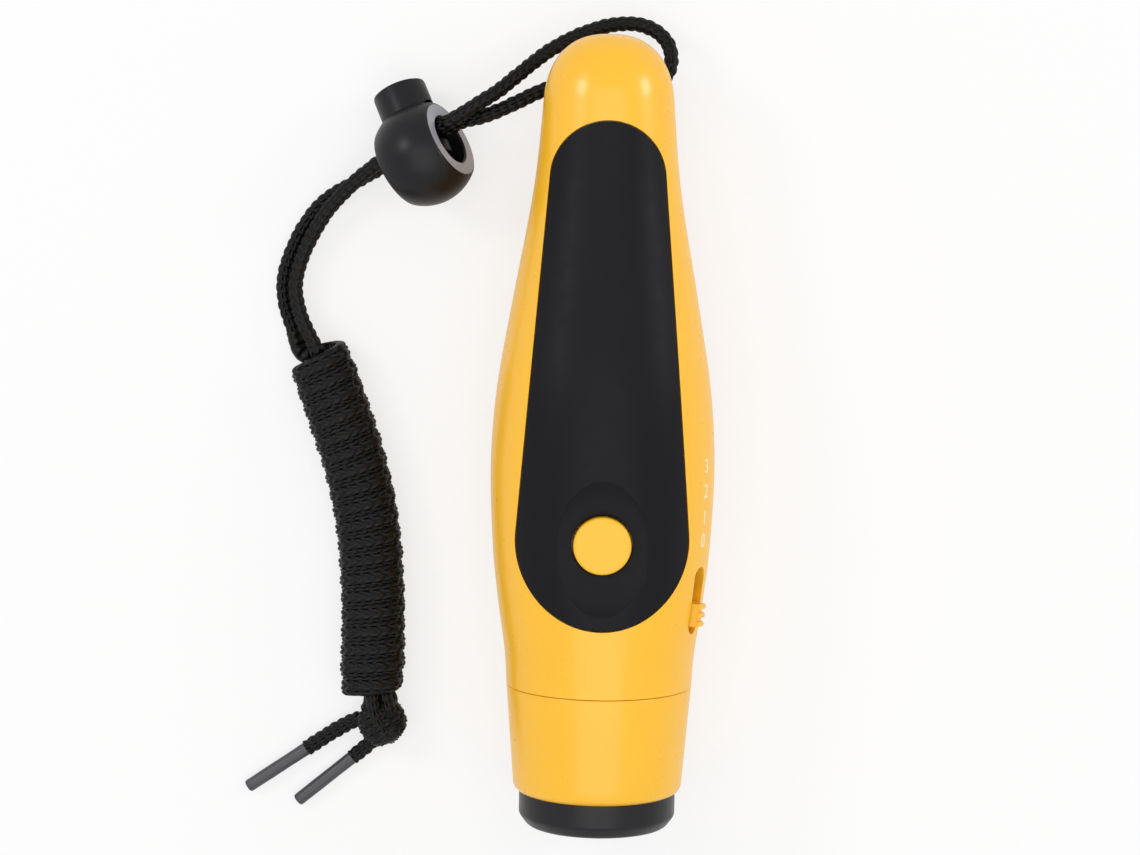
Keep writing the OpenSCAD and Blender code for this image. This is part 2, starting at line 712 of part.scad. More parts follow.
// ---- Head ------------------------------------------------------------------------------
// Turned piece about the body's axis: its profile is given as [radius, place along Y]
module turned(profile) {
    translate([0, 0, axis_z]) rotate([-90, 0, 0]) rotate_extrude($fn = 120) polygon(profile);
}
module head_collar() {
    shoulder = cup_back + fit;
    color(amber) turned([
        [head_bore_r, collar_end], [collar_d / 2 - collar_bevel, collar_end],
        [collar_d / 2, collar_end + collar_bevel], [joint_d / 2, joint_y],
        [spigot_r, joint_y], [spigot_r, joint_y + spigot_len - 0.6], [spigot_r - 0.6, joint_y + spigot_len],
        [spigot_r - spigot_wall, joint_y + spigot_len], [spigot_r - spigot_wall, shoulder],
        [head_bore_r, shoulder]
    ]);
}
module mouth_ring() {
    seat_r = mouth_d / 2 + 0.8;
    color(soot) turned([
        [mouth_d / 2, mouth_y], [ring_face_d / 2, mouth_y], [ring_d / 2, mouth_y + face_bevel],
        [ring_d / 2, collar_end], [ring_plug_r, collar_end], [ring_plug_r, collar_end + ring_plug_len],
        [seat_r, collar_end + ring_plug_len], [seat_r, grille_front], [mouth_d / 2, grille_front]
    ]);
}
module sound_grille() {
    bar = 1.1;
    module hoop(from, to) {
        back = grille_front + grille_t;
        turned([[from, grille_front], [to, grille_front], [to, back], [from, back]]);
    }
    color(soot) {
        hoop(0, 2);
        for (r = [5, 7.9]) hoop(r, r + bar);
        hoop(mouth_d / 2 - 0.6, mouth_d / 2 + 0.7);
        for (a = [0, 120, 240]) translate([0, grille_front, axis_z]) rotate([0, a, 0])
            translate([-bar / 2, 0.1, 1.6]) cube([bar, grille_t - 0.2, mouth_d / 2 - 1.5]);
    }
}
module sound_horn() {
    front = grille_front + grille_t;
    out = mouth_d / 2 + 0.6;
    skin = 1;
    color("dimgray") turned([
        [out - 1.2, front], [out, front], [out, front + 1], [5 + skin, cup_front - 1.6],
        [cup_r - 0.1, cup_front - 1.6], [cup_r - 0.1, cup_front], [5 - 0.8, cup_front]
    ]);
}
module sounder_cup() {
    inner = piezo_d / 2 + 0.2;
    color("dimgray") turned([
        [cup_r, cup_front], [cup_r, cup_back], [inner, cup_back], [inner, piezo_y],
        [inner - 1.2, piezo_y], [inner - 1.2, ledge_y], [inner, ledge_y], [inner, cup_front]
    ]);
}
module piezo_disc() {
    y = piezo_y + piezo_t;
    color(brass) turned([[0, piezo_y], [piezo_d / 2, piezo_y], [piezo_d / 2, y], [0, y]]);
}
module piezo_ceramic() {
    y = piezo_y + piezo_t;
    r = piezo_d * 0.37;
    color("lightgray") turned([[0, y], [r, y], [r, y + ceramic_t], [0, y + ceramic_t]]);
}
module foam_ring() {
    y = piezo_y + piezo_t;
    color("darkslategray") turned([
        [piezo_d / 2 - 2.2, y], [piezo_d / 2, y],
        [piezo_d / 2, y + foam_len], [piezo_d / 2 - 2.2, y + foam_len]
    ]);
}

// ---- Fasteners and leads ---------------------------------------------------------------
module shell_screws() {
    color(steel) for (p = screw_places) translate([p[0], p[1], screw_floor]) difference() {
        rotate_extrude($fn = 36) polygon([
            [0, -screw_head_h], [1.3, -screw_head_h], [screw_head_r, -screw_head_h + 0.6],
            [screw_head_r, 0], [screw_r, 0], [screw_r, screw_len - 1], [0, screw_len]
        ]);
        for (a = [0, 90]) rotate([0, 0, a]) translate([-1.2, -0.25, -screw_head_h - 1]) cube([2.4, 0.5, 1.8]);
    }
}
module battery_leads() {
    y = bay_mid - plate_y - contact_t;
    color("firebrick") for (x = [-1, 1]) tube([
        [x * lead_x, y, lead_z], [x * lead_x, y - 1.6, lead_z], [x * (lead_x - 0.3), y - 2.6, lead_z + 0.8],
        [x * (lead_x - 0.8), y - 2.9, lead_z + 2.4], [x * (lead_x - 0.8), y - 2.9, board_low]
    ], lead_d, 8, [1, 0, 0]);
}
module sounder_leads() {
    y = board_near + 2;
    end = piezo_y + piezo_t + ceramic_t;
    color("firebrick") for (x = [-1, 1]) tube([
        [x * 2, y, board_low], [x * 2, y, board_low - 1], [x * 2, y - 1, board_low - 2],
        [x * 2.2, y - 4, board_low - 2.6], [x * 2.8, joint_y, board_low - 3], [x * 3, end + 5, axis_z + 1],
        [x * 3, end + 2, axis_z + 1], [x * 3, end, axis_z + 1]
    ], lead_d, 8, [1, 0, 0]);
}

// ---- Lanyard ---------------------------------------------------------------------------
// Point of a smooth curve through route points, at a share of its whole run
function blend(p, t) =
    let (n = len(p) - 1, i = min(floor(t * n), n - 1), f = t * n - i,
        b = p[i], c = p[i + 1],
        a = i > 0 ? p[i - 1] : 2 * b - c, d = i + 2 <= n ? p[i + 2] : 2 * c - b)
    0.5 * (2 * b + (c - a) * f + (2 * a - 5 * b + 4 * c - d) * f * f + (3 * b - a - 3 * c + d) * f * f * f);
function grip_way(t) = unit(blend(grip_route, min(1, t + 0.01)) - blend(grip_route, max(0, t - 0.01)));
// Point of the winding: t along the grip, angle round it
function wound(t, angle) =
    let (c = blend(grip_route, t), w = grip_way(t), side = [-w[1], w[0]])
    [c[0] + grip_half_w * sin(angle) * side[0], c[1] + grip_half_w * sin(angle) * side[1],
        grip_z - grip_half_h * cos(angle)];
// The winding bends into and out of its turns from a straight run of one diameter
function run_in() =
    let (c = wound(0, 0), w3 = grip_way(0), w = [w3[0], w3[1], 0], side = [-w[1], w[0], 0],
        bend = [for (a = [0, 30, 60]) c - grip_bend * ((1 - sin(a)) * w + cos(a) * side)])
    concat([bend[0] - cord_d * w], bend);
function run_out() =
    let (c = wound(1, 360 * grip_turns), w3 = grip_way(1), w = [w3[0], w3[1], 0], side = [-w[1], w[0], 0],
        bend = [for (a = [30, 60, 90]) c + grip_bend * ((1 - cos(a)) * w + sin(a) * side)])
    concat(bend, [bend[2] + cord_d * w]);
grip_rings = 24;
winding = concat(
    run_in(),
    [for (i = [0:grip_turns * grip_rings]) wound(i / (grip_turns * grip_rings), 360 * i / grip_rings)],
    run_out()
);
least_gap = min([for (i = [0:len(winding) - 1], j = [i + 16:1:min(i + 34, len(winding) - 1)])
    norm(winding[i] - winding[j])]) - cord_d;
echo("least gap of the grip winding to itself, mm", least_gap);

core_start = [grip_route[0][0], grip_route[0][1], grip_z];
core_half_w = grip_half_w - cord_d / 2 - 0.35;
core_half_h = grip_half_h - cord_d / 2 - 0.35;
function level(v) = [v[0], v[1], 0];
module lanyard_cord() {
    lead = 2;
    way_in = level(grip_way(0));
    color(cord_black) tube(concat(
        [core_start, core_start - lead * way_in],
        cord_route,
        [winding[0] - lead * way_in, winding[0]]
    ), cord_d);
}
module grip_core() {
    steps = 12;
    centres = [for (i = [0:steps]) let (c = blend(grip_route, i / steps)) [c[0], c[1], grip_z]];
    path = concat(centres, [centres[steps] + 4 * level(grip_way(1))]);
    color(cord_black) loft([for (i = [0:steps + 1])
        let (w = way(path, i), side = unit([-w[1], w[0], 0]))
        [for (k = [0:11]) path[i] + core_half_w * cos(-30 * k) * side + [0, 0, core_half_h * sin(-30 * k)]]]);
}
module grip_wrap() { color(cord_black) tube(winding, cord_d, 6); }
module end_knot() {
    color(cord_black) hull() {
        translate([-41.2, -54.2, 3.6]) sphere(3.6, $fn = 20);
        translate([-38.9, -55.3, 4]) sphere(4, $fn = 20);
        translate([-39.9, -56.8, 3]) sphere(3, $fn = 20);
    }
}
module tail_cords() { color(cord_black) for (route = tail_routes) tube(route, cord_d); }
module tail_tips() {
    color(soot) for (route = tail_routes) {
        last = len(route) - 1;
        aimed(route[last], route[last] - route[last - 1], [0, 0, 1]) rotate_extrude($fn = 36)
            polygon([
                [0, 0], [tip_d / 2, 0], [tip_d / 2, tip_len - 0.2], [tip_d / 2 - 0.2, tip_len],
                [0, tip_len]
            ]);
    }
}

// ---- Cord lock -------------------------------------------------------------------------
module lock_frame() { aimed(ball_place, plunger_dir, hole_dir) children(); }
module lock_ball() {
    color(soot) lock_frame() difference() {
        sphere(ball_r, $fn = 96);
        for (x = [-1, 1]) translate([x * (rim_cut + ball_r), 0, 0]) cube(2 * ball_r, center = true);
        rotate([0, 90, 0]) cylinder(d = ball_hole_d, h = 2 * ball_d, center = true, $fn = 72);
        translate([0, 0, spring_floor]) cylinder(r = plunger_d / 2 + slide_gap, h = ball_d, $fn = 72);
    }
}
module lock_plunger() {
    edge = 0.4;
    color(soot) lock_frame() difference() {
        rotate_extrude($fn = 72) polygon([
            [0, plunger_foot], [plunger_d / 2, plunger_foot], [plunger_d / 2, plunger_out - edge],
            [plunger_d / 2 - edge, plunger_out], [0, plunger_out]
        ]);
        translate([0, 0, plunger_hole_at]) rotate([0, 90, 0])
            cylinder(d = plunger_hole_d, h = ball_d, center = true, $fn = 64);
    }
}
module lock_spring() {
    steps = 8;
    low = spring_floor + spring_wire / 2 + 0.05;
    rise = plunger_foot - spring_wire / 2 - 0.05 - low;
    coil_r = plunger_d / 2 - 1.2;
    path = [for (i = [0:spring_turns * steps]) let (a = 360 * i / steps)
        [coil_r * cos(a), coil_r * sin(a), low + rise * i / (spring_turns * steps)]];
    color(steel) lock_frame() tube(path, spring_wire, 5, [0, 0, 1]);
}

front_shell();
back_shell();
grip_panel();
head_collar();
mouth_ring();
sound_grille();
push_button();
button_stem();
tact_switch();
selector_knob();
selector_lever();
selector_switch();
battery_door();
battery_tray();
cell_left();
cell_right();
contact_springs();
contact_plates();
circuit_board();
controller_chip();
boost_coil();
storage_capacitor();
driver_transistor();
sound_horn();
sounder_cup();
piezo_disc();
piezo_ceramic();
foam_ring();
shell_screws();
board_screws();
battery_leads();
sounder_leads();
lanyard_cord();
grip_core();
grip_wrap();
end_knot();
tail_cords();
tail_tips();
lock_ball();
lock_plunger();
lock_spring();
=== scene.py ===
"""Electronic hand whistle with a wrist lanyard, laid out as a Blender add-on and run as a script."""
import json
from math import acos, asin, copysign, cos, degrees, floor, pi, radians, sin, sqrt, tau

import bmesh
import bpy
from mathutils import Matrix, Vector, noise


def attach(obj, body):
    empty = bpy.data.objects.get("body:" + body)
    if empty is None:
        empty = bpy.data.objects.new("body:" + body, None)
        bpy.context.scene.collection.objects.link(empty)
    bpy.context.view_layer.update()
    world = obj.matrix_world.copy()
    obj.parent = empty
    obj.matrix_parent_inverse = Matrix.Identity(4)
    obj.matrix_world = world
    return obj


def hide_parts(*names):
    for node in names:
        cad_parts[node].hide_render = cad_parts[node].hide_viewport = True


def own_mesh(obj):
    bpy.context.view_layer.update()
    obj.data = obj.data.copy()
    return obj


bl_info = {
    "name": "Electronic Whistle",
    "version": (1, 0, 0),
    "blender": (4, 5, 0),
    "location": "View3D > Sidebar > Whistle",
    "description": "Builds an electronic hand whistle with its lanyard, cord lock and wound grip",
    "category": "Object",
}

MM = 0.001
ALONG_X = Matrix.Rotation(radians(90), 3, "Y")
ALONG_Y = Matrix.Rotation(radians(-90), 3, "X")
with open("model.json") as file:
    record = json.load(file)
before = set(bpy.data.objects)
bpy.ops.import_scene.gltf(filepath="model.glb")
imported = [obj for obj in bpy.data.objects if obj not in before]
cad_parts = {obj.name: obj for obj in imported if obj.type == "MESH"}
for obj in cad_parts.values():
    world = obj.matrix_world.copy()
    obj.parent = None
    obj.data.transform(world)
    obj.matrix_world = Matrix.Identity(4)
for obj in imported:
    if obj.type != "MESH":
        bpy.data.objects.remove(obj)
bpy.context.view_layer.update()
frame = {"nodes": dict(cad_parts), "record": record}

# Camera: place and aim in metres, roll in degrees, focal length in widths of the sensor
CAMERA_AT = (-0.00676, 0.05419, 0.54398)
CAMERA_AIM = (-0.00587, 0.00099, 0.0170)
CAMERA_ROLL = 0.955
CAMERA_FOCAL = 3002 / 1140

# Body form, in millimetres. A station is a place along the axis, half the width and half the depth
AXIS_Z = 17.0
JOINT_Y = -44.6
DOME_Y = 58.0
DOME_LEN = 12.0
DOME_POWER = 2.4
NECK_TAPER = 0.06
WALL = 2.6
PANEL_T = 1.5
STATIONS = [
    (-56.6, 16.05, 16.05), (-44.6, 16.45, 16.45), (-38.6, 16.85, 16.55), (-30.0, 18.1, 16.85), (-20.0, 19.2, 16.75),
    (-5.0, 19.75, 17.0), (8.0, 18.85, 16.7), (23.0, 16.4, 14.45), (43.0, 12.9, 11.5), (58.0, 11.45, 10.3),
    (68.0, 10.85, 9.7),
]
# The panel's two round ends: place along the axis and radius
PANEL_LOW = (-17.6, 14.8)
PANEL_TOP = (44.9, 9.75)
PANEL_GROW = 0.16
RECESS_GROW = 0.36
DISH_Y, DISH_W, DISH_LEN, DISH_DEPTH = -18.4, 16.2, 23.6, 2.0
DISH_RIM = 1.02
DISH_CLEAR = 0.0003
BUTTON_Y = -17.8
BUTTON_TOP = 33.7
BUTTON_HOLE_R = 5.3
CORD_HOLE = (0, 61, 9.9)
CORD_HOLE_R = 1.8
TUNNEL_PROFILE = [(0, -30), (9, -30), (CORD_HOLE_R, -10.6), (CORD_HOLE_R, 10.6), (9, 30), (0, 30)]
SOCKET_R = 13.85
SCREWS = [(10.5, -38.0), (-10.5, -38.0), (6.0, 46.0), (-6.0, 46.0)]
SCREW_WELL_R = 3.2
SCREW_HEAD_R = 2.1
SCREW_HEAD_Z = 11.3
# Centres of the door's round corners, and the angle at which each starts
DOOR_CORNERS = ((9.5, 17.6, 0), (-9.5, 17.6, 90), (-9.5, -24.4, 180), (9.5, -24.4, 270))
DOOR_CORNER_R = 3.0
DOOR_GAP = 0.3
GROOVES = 7
GROOVE_R = 0.7
SLOT_Y, SLOT_ANGLE, SLOT_YAW, SLOT_TILT = -28.5, 23, -6.2, -24.73
SLOT_LEN, SLOT_W = 12, 4
KNOB_TRAVEL = 4.9
KNOB_RIBS = (-1.55, 0, 1.55)
RIB_R = 0.5
DIGITS = (("0", -17.9), ("1", -13.9), ("2", -9.2), ("3", -4.8))
DIGIT_ANGLE = 24.0
DIGIT_GIRTH_R = 18.4
DIGIT_RAISED, DIGIT_SUNK = 0.05, -0.15

# Lanyard, in millimetres. The strands run as the cord solids do, and the winding is a little fuller than its solid
LONG_STRAND = [
    (8.6, 61.6, 9.9), (10.1, 63.0, 9.7), (10.9, 65.0, 9.2), (10.9, 67.2, 8.4), (10.0, 69.2, 7.5), (8.2, 70.9, 6.7),
    (5.4, 72.0, 6.1), (2.2, 72.1, 5.9), (-1.6, 71.4, 6.1), (-5.6, 69.9, 6.7), (-9.4, 67.9, 7.8), (-13.0, 65.3, 9.2),
    (-16.2, 62.6, 10.6), (-19.6, 59.8, 11.8), (-23.4, 57.3, 12.4), (-27.0, 55.0, 12.5), (-29.4, 53.6, 11.7),
    (-34.1, 50.8, 9.7), (-38.8, 48.1, 7.7), (-40.6, 47.0, 7.0), (-43.0, 45.1, 6.1), (-45.4, 43.0, 5.4),
    (-47.8, 40.6, 4.6), (-50.1, 37.9, 3.9), (-52.1, 34.8, 3.4), (-53.9, 31.2, 3.2), (-55.1, 27.8, 3.2),
    (-55.7, 24.4, 3.2), (-55.3, 21.4, 3.4), (-54.4, 18.4, 3.8), (-53.0, 15.6, 4.3),
]
SHORT_STRAND = [
    (-9.4, 60.8, 10.0), (-12.6, 59.7, 10.2), (-15.8, 58.1, 10.5), (-19.2, 56.5, 10.6), (-22.6, 55.2, 10.5),
    (-25.8, 54.4, 9.9), (-28.1, 53.3, 9.1), (-32.8, 50.5, 7.1), (-37.5, 47.7, 5.2), (-39.6, 46.4, 4.3),
    (-42.2, 44.9, 3.2), (-45.2, 43.2, 2.1), (-48.6, 41.3, 1.5), (-51.7, 38.8, 1.3), (-54.3, 35.3, 1.3),
    (-56.2, 31.6, 1.3), (-57.5, 28.0, 1.3), (-58.1, 24.4, 1.3), (-57.7, 20.8, 1.3),
]
HOLE_STRAND = [(8.6, 61.6, 9.9), (6.4, 61.0, 9.9), (0, 61, 9.9), (-6.4, 61, 9.9), (-9.4, 60.8, 10.0)]
GRIP = [(-51.4, 12.0), (-47.8, 2.2), (-44.5, -7.7), (-42.3, -17.9), (-41.3, -28.2), (-41.0, -38.6), (-41.2, -49.0)]
GRIP_TURNS = 19
GRIP_HALF_W = 4.65
GRIP_END_W = 4.3
GRIP_SHOULDER = 0.07
GRIP_HALF_H = 3.3
GRIP_Z = 4.6
GRIP_BEND = 3.0
CORE_OFFSET = 1.35
CORD_D = 2.6
TAILS = [
    [(-43.4, -54.6, 2.2), (-45.8, -55.8, 1.6), (-48.4, -57.4, 1.3), (-51.0, -59.1, 1.3), (-53.2, -60.6, 1.3)],
    [(-40.2, -57.8, 2.2), (-41.6, -59.3, 1.6), (-43.1, -60.7, 1.3), (-44.8, -62.1, 1.3)],
]
KNOT_ENDS = [
    [(-40.9, -48.0, 6.0), (-40.8, -50.6, 6.5), (-40.2, -53.2, 6.9), (-38.9, -55.4, 6.7), (-37.6, -56.8, 5.8)],
    [(-38.9, -48.0, 5.2), (-38.5, -50.4, 5.9), (-37.6, -52.9, 5.9), (-36.8, -55.0, 5.0), (-36.9, -57.0, 4.0)],
]
TIP_PROFILE = [
    (0, 0), (1.2, 0), (1.2, 0.5), (1.16, 4), (1.18, 8), (1.15, 11.6), (1.16, 12.6), (1.05, 12.9), (0.85, 13.0),
    (0.75, 12.7), (0, 12.7),
]
# The knot is cord wound round a ball, from one pole of its axis to the other
KNOT_CENTRE = Vector((-39.3, -54.7, 4.1))
KNOT_AXIS = Vector((0.42, -0.907, 0))
KNOT_SIDE = Vector((0.907, 0.42, 0))
KNOT_START = (-41.0, -48.8, 4.6)
KNOT_POINTS = 55
KNOT_FIRST, KNOT_TURN = 200, 22
KNOT_HALF_LEN = 3.6
KNOT_R = 3.35
KNOT_POLE = 0.96
KNOT_FLAT = 0.8
KNOT_CORE = ((0, 0, 0, 3.2), (-0.8, 2.2, 0, 2.1), (1.0, -1.8, 0, 2.4))

# Braid: length of a stitch in metres, its slant in stitches, and how far it loosens and swells
STITCH = 0.0016
STITCH_SLANT = 0.7
STITCH_LOOSE = 0.22
BRAID_SWELL = 0.06
# A flattened braid is round at its ends over this many millimetres, and no braid sinks into the table
BRAID_TAPER = 4
TABLE_CLEAR = 0.03
FLAT_BRAID = {"sides": 40, "step": 0.00022, "relief": 0.34, "columns": 2}

# Cord lock, in millimetres from the ball's centre
BALL = (-32.5, 48.5, 9.2)
BALL_FLAT = 5.8
BALL_HOLE_R = 4.45
HOLE_DIR = (0.810, 0.476, 0.343)
PLUNGER_DIR = (-0.380, 0.871, -0.311)
PLUNGER_FOOT = -1.6
PLUNGER_HOLE_R = 3.95
PLUNGER_HOLE_AT = 4.45
PLUNGER_PROFILE = [
    (0, PLUNGER_FOOT), (4.7, PLUNGER_FOOT), (4.85, -1.4), (4.85, 12.3), (4.75, 12.7), (4.4, 12.88), (3.9, 12.9),
    (0, 12.78),
]
SPRING_FLOOR = -7.6
SPRING_WIRE = 0.7
SPRING_TURNS = 4
SPRING_R = 3.65
SPRING_STEPS = 24
SPRING_END_GAP = 0.05
BORE_PROFILE = [(0, SPRING_FLOOR), (5.0, SPRING_FLOOR), (5.0, 8.2), (5.15, 9.0), (5.3, 12), (0, 12)]

# Sound head: profiles of (radius, place along the axis) in millimetres
COLLAR_EDGE = [(13.6, -63.8), (13.85, -63.8), (14.25, -63.62), (14.6, -63.3), (14.85, -62.95)]
COLLAR_SIDE = [(14.98 + 1.42 * (i / 8), -62.6 + 17.7 * (i / 8)) for i in range(9)]
COLLAR_SPIGOT = [
    (16.36, -44.82), (16.30, -44.75), (13.65, -44.72), (13.65, -41.6), (13.05, -41.0), (12.35, -41.0), (12.35, -49.3),
    (13.6, -49.3),
]
MOUTH_RING = [
    (10.7, -70.0), (10.5, -69.8), (10.5, -66.9), (11.3, -66.9), (11.3, -58.8), (13.4, -58.8), (13.4, -63.8),
    (13.9, -63.8), (13.9, -67.6), (13.84, -67.95), (13.66, -68.3), (12.85, -69.4), (12.6, -69.66), (12.25, -69.88),
    (11.85, -69.98), (11.5, -70.0),
]


# ---- Sizes and colours
class WhistleSizes(bpy.types.PropertyGroup):
    body_sides: bpy.props.IntProperty(
        name="Body sides", description="Facets round the body", default=144, min=48, max=256)
    edge_soft: bpy.props.FloatProperty(
        name="Edge softness", description="Radius of the moulded edges", default=0.00018, unit="LENGTH")
    button_d: bpy.props.FloatProperty(
        name="Button diameter", description="Diameter of the push button", default=0.010, unit="LENGTH")
    ball_d: bpy.props.FloatProperty(
        name="Lock ball diameter", description="Diameter of the cord lock's ball", default=0.0184, unit="LENGTH")
    cord_d: bpy.props.FloatProperty(
        name="Cord diameter", description="Diameter of the braided cord", default=0.0026, unit="LENGTH")
    digit_h: bpy.props.FloatProperty(
        name="Digit height", description="Height of the selector's digits", default=0.0026, unit="LENGTH")


class WhistleColours(bpy.types.PropertyGroup):
    orange: bpy.props.FloatVectorProperty(
        name="Orange", description="Moulded shell colour", subtype="COLOR", default=(0.97, 0.512, 0.018))
    black: bpy.props.FloatVectorProperty(
        name="Black", description="Grip panel and mouth ring", subtype="COLOR", default=(0.0070, 0.0068, 0.0085))
    cord: bpy.props.FloatVectorProperty(
        name="Cord", description="Braided cord", subtype="COLOR", default=(0.0080, 0.0080, 0.0088))
    tip: bpy.props.FloatVectorProperty(
        name="Tip", description="Shrunk sleeve on the cord ends", subtype="COLOR", default=(0.050, 0.050, 0.058))
    floor: bpy.props.FloatVectorProperty(
        name="Floor", description="Studio floor", subtype="COLOR", default=(0.90, 0.90, 0.90))


def sizes():
    return bpy.context.scene.whistle_sizes


def colours():
    return bpy.context.scene.whistle_colours


# ---- Form of the body
def along(y, k):
    """Half width (k = 1) or half depth (k = 2) of the body at a place, on a smooth curve through the stations."""
    i = 1
    while i < len(STATIONS) - 3 and y > STATIONS[i + 1][0]:
        i += 1
    step = STATIONS[i + 1][0] - STATIONS[i][0]
    t = (y - STATIONS[i][0]) / step

    def slope(j):
        return (STATIONS[j + 1][k] - STATIONS[j - 1][k]) / (STATIONS[j + 1][0] - STATIONS[j - 1][0])
    return ((1 + 2 * t) * (1 - t) ** 2 * STATIONS[i][k] + t * (1 - t) ** 2 * step * slope(i)
            + t * t * (3 - 2 * t) * STATIONS[i + 1][k] - t * t * (1 - t) * step * slope(i + 1))


def half(y, k, inset=0.0):
    """The same with the round dome at the end, less an inset."""
    if y <= DOME_Y:
        return along(y, k) - inset
    t = min(1.0, (y - DOME_Y) / (DOME_LEN - inset))
    straight = STATIONS[-2][k] - NECK_TAPER * (y - DOME_Y)
    return (straight - inset) * max(0.0, 1 - t ** DOME_POWER) ** (1 / DOME_POWER)


def on_body(y, angle, lift=0.0):
    """Point on the body's surface, in metres."""
    a = radians(angle)
    return Vector(((half(y, 1) + lift) * cos(a), y, AXIS_Z + (half(y, 2) + lift) * sin(a))) * MM


def sections(start, inset, count=96, dome=26):
    """Sections (place, half width, half depth) of the body from a place to the tip of its dome."""
    places = [start + (DOME_Y - start) * i / count for i in range(count + 1)]
    places += [DOME_Y + (DOME_LEN - inset) * sin(radians(89.2 * i / dome)) for i in range(1, dome + 1)]
    return [(y, half(y, 1, inset), half(y, 2, inset)) for y in places]


# ---- Mesh helpers
def new_object(name, mesh):
    obj = bpy.data.objects.new(name, mesh)
    bpy.context.scene.collection.objects.link(obj)
    return obj


def finish_mesh(bm, name, recalc=True):
    """Makes an object of a bmesh and frees it."""
    if recalc:
        bmesh.ops.recalc_face_normals(bm, faces=bm.faces)
    mesh = bpy.data.meshes.new(name)
    bm.to_mesh(mesh)
    bm.free()
    return new_object(name, mesh)


def extruded(bm, edges=None, faces=None):
    """Pulls new edges or faces out of others, and gives their vertices and edges."""
    if edges:
        made = bmesh.ops.extrude_edge_only(bm, edges=edges)["geom"]
    else:
        made = bmesh.ops.extrude_face_region(bm, geom=faces)["geom"]
    return [[g for g in made if isinstance(g, kind)] for kind in (bmesh.types.BMVert, bmesh.types.BMEdge)]


def evaluated(obj):
    return bpy.data.meshes.new_from_object(obj.evaluated_get(bpy.context.evaluated_depsgraph_get()))


def applied(obj):
    """Takes the object's modifiers into its mesh."""
    mesh = evaluated(obj)
    obj.modifiers.clear()
    old, obj.data = obj.data, mesh
    bpy.data.meshes.remove(old)
    return obj


def placed(place, turn=None):
    """Matrix that turns a piece and then moves it to a place in mm."""
    return Matrix.Translation(Vector(place) * MM) @ (turn.to_4x4() if turn else Matrix.Identity(4))


def smooth(obj, angle=35.0):
    for p in obj.data.polygons:
        p.use_smooth = True
    obj.data.set_sharp_from_angle(angle=radians(angle))


def lofted(name, rings, sides):
    """Closed body of elliptical sections along Y: each ring is extruded, scaled and moved on."""
    bm = bmesh.new()
    bmesh.ops.create_circle(bm, radius=MM, segments=sides)
    bmesh.ops.rotate(bm, verts=bm.verts, matrix=Matrix.Rotation(radians(90), 3, "X"))
    y, a, b = rings[0]
    bmesh.ops.scale(bm, verts=bm.verts, vec=(a, 1, b))
    bmesh.ops.translate(bm, verts=bm.verts, vec=(0, y * MM, AXIS_Z * MM))
    edges = list(bm.edges)
    bmesh.ops.edgeloop_fill(bm, edges=edges)
    for y2, a2, b2 in rings[1:]:
        verts, edges = extruded(bm, edges)
        centre = Matrix.Translation((0, -y * MM, -AXIS_Z * MM))
        bmesh.ops.scale(bm, verts=verts, vec=(a2 / a, 1, b2 / b), space=centre)
        bmesh.ops.translate(bm, verts=verts, vec=(0, (y2 - y) * MM, 0))
        y, a, b = y2, a2, b2
    bmesh.ops.edgeloop_fill(bm, edges=edges)
    return finish_mesh(bm, name)


def inside(inset, count=32, dome=12, sides=64):
    """The body's form less an inset and a little longer at the joint, to cut or keep with."""
    return lofted("inside", sections(JOINT_Y - 1, inset, count, dome), sides)


def skin(name):
    return lofted(name, sections(JOINT_Y, 0), sizes().body_sides)


def hollow():
    return inside(WALL, 48, 14, 72)


def under_panel(inset=PANEL_T):
    return inside(inset, 64, 18, 96)


def lathed(name, profile, place=(0, 0, 0), turn=None, steps=128, closed=False):
    """Turned piece: profile of (radius, height) in mm, spun about Z, then turned and placed."""
    bm = bmesh.new()
    verts = [bm.verts.new((r * MM, 0, z * MM)) for r, z in profile]
    edges = [bm.edges.new((verts[i], verts[i + 1])) for i in range(len(verts) - 1)]
    if closed:
        edges.append(bm.edges.new((verts[-1], verts[0])))
    bmesh.ops.spin(bm, geom=verts + edges, axis=(0, 0, 1), angle=tau, steps=steps, use_merge=True)
    bmesh.ops.remove_doubles(bm, verts=bm.verts, dist=1e-7)
    bmesh.ops.dissolve_degenerate(bm, edges=bm.edges, dist=1e-8)
    bmesh.ops.transform(bm, verts=bm.verts, matrix=placed(place, turn))
    obj = finish_mesh(bm, name)
    smooth(obj)
    return obj


def prism(name, outline, low, high):
    """Upright prism over an outline of (x, y) in mm."""
    bm = bmesh.new()
    verts = [bm.verts.new((x * MM, y * MM, low * MM)) for x, y in outline]
    top, _ = extruded(bm, faces=[bm.faces.new(verts)])
    bmesh.ops.translate(bm, verts=top, vec=(0, 0, (high - low) * MM))
    return finish_mesh(bm, name)


def block(name, low, high, matrix=None):
    bm = bmesh.new()
    bmesh.ops.create_cube(bm, size=1)
    size = Vector(high) - Vector(low)
    bmesh.ops.scale(bm, verts=bm.verts, vec=size * MM)
    bmesh.ops.translate(bm, verts=bm.verts, vec=(Vector(low) + size / 2) * MM)
    if matrix:
        bmesh.ops.transform(bm, verts=bm.verts, matrix=matrix)
    return finish_mesh(bm, name)


def rod(name, radius, low, high, place=(0, 0, 0), turn=None, steps=48):
    return lathed(name, [(0, low), (radius, low), (radius, high), (0, high)], place, turn, steps)


def cut(base, *others, operation="DIFFERENCE"):
    """Boolean of closed meshes, applied at once; the others are used up."""
    for other in others:
        modifier = base.modifiers.new("cut", "BOOLEAN")
        modifier.operation = operation
        modifier.object = other
        modifier.solver = "EXACT"
        applied(base)
        bpy.data.meshes.remove(other.data)
    return base


def keep(base, other):
    return cut(base, other, operation="INTERSECT")


def join(base, *others):
    return cut(base, *others, operation="UNION")


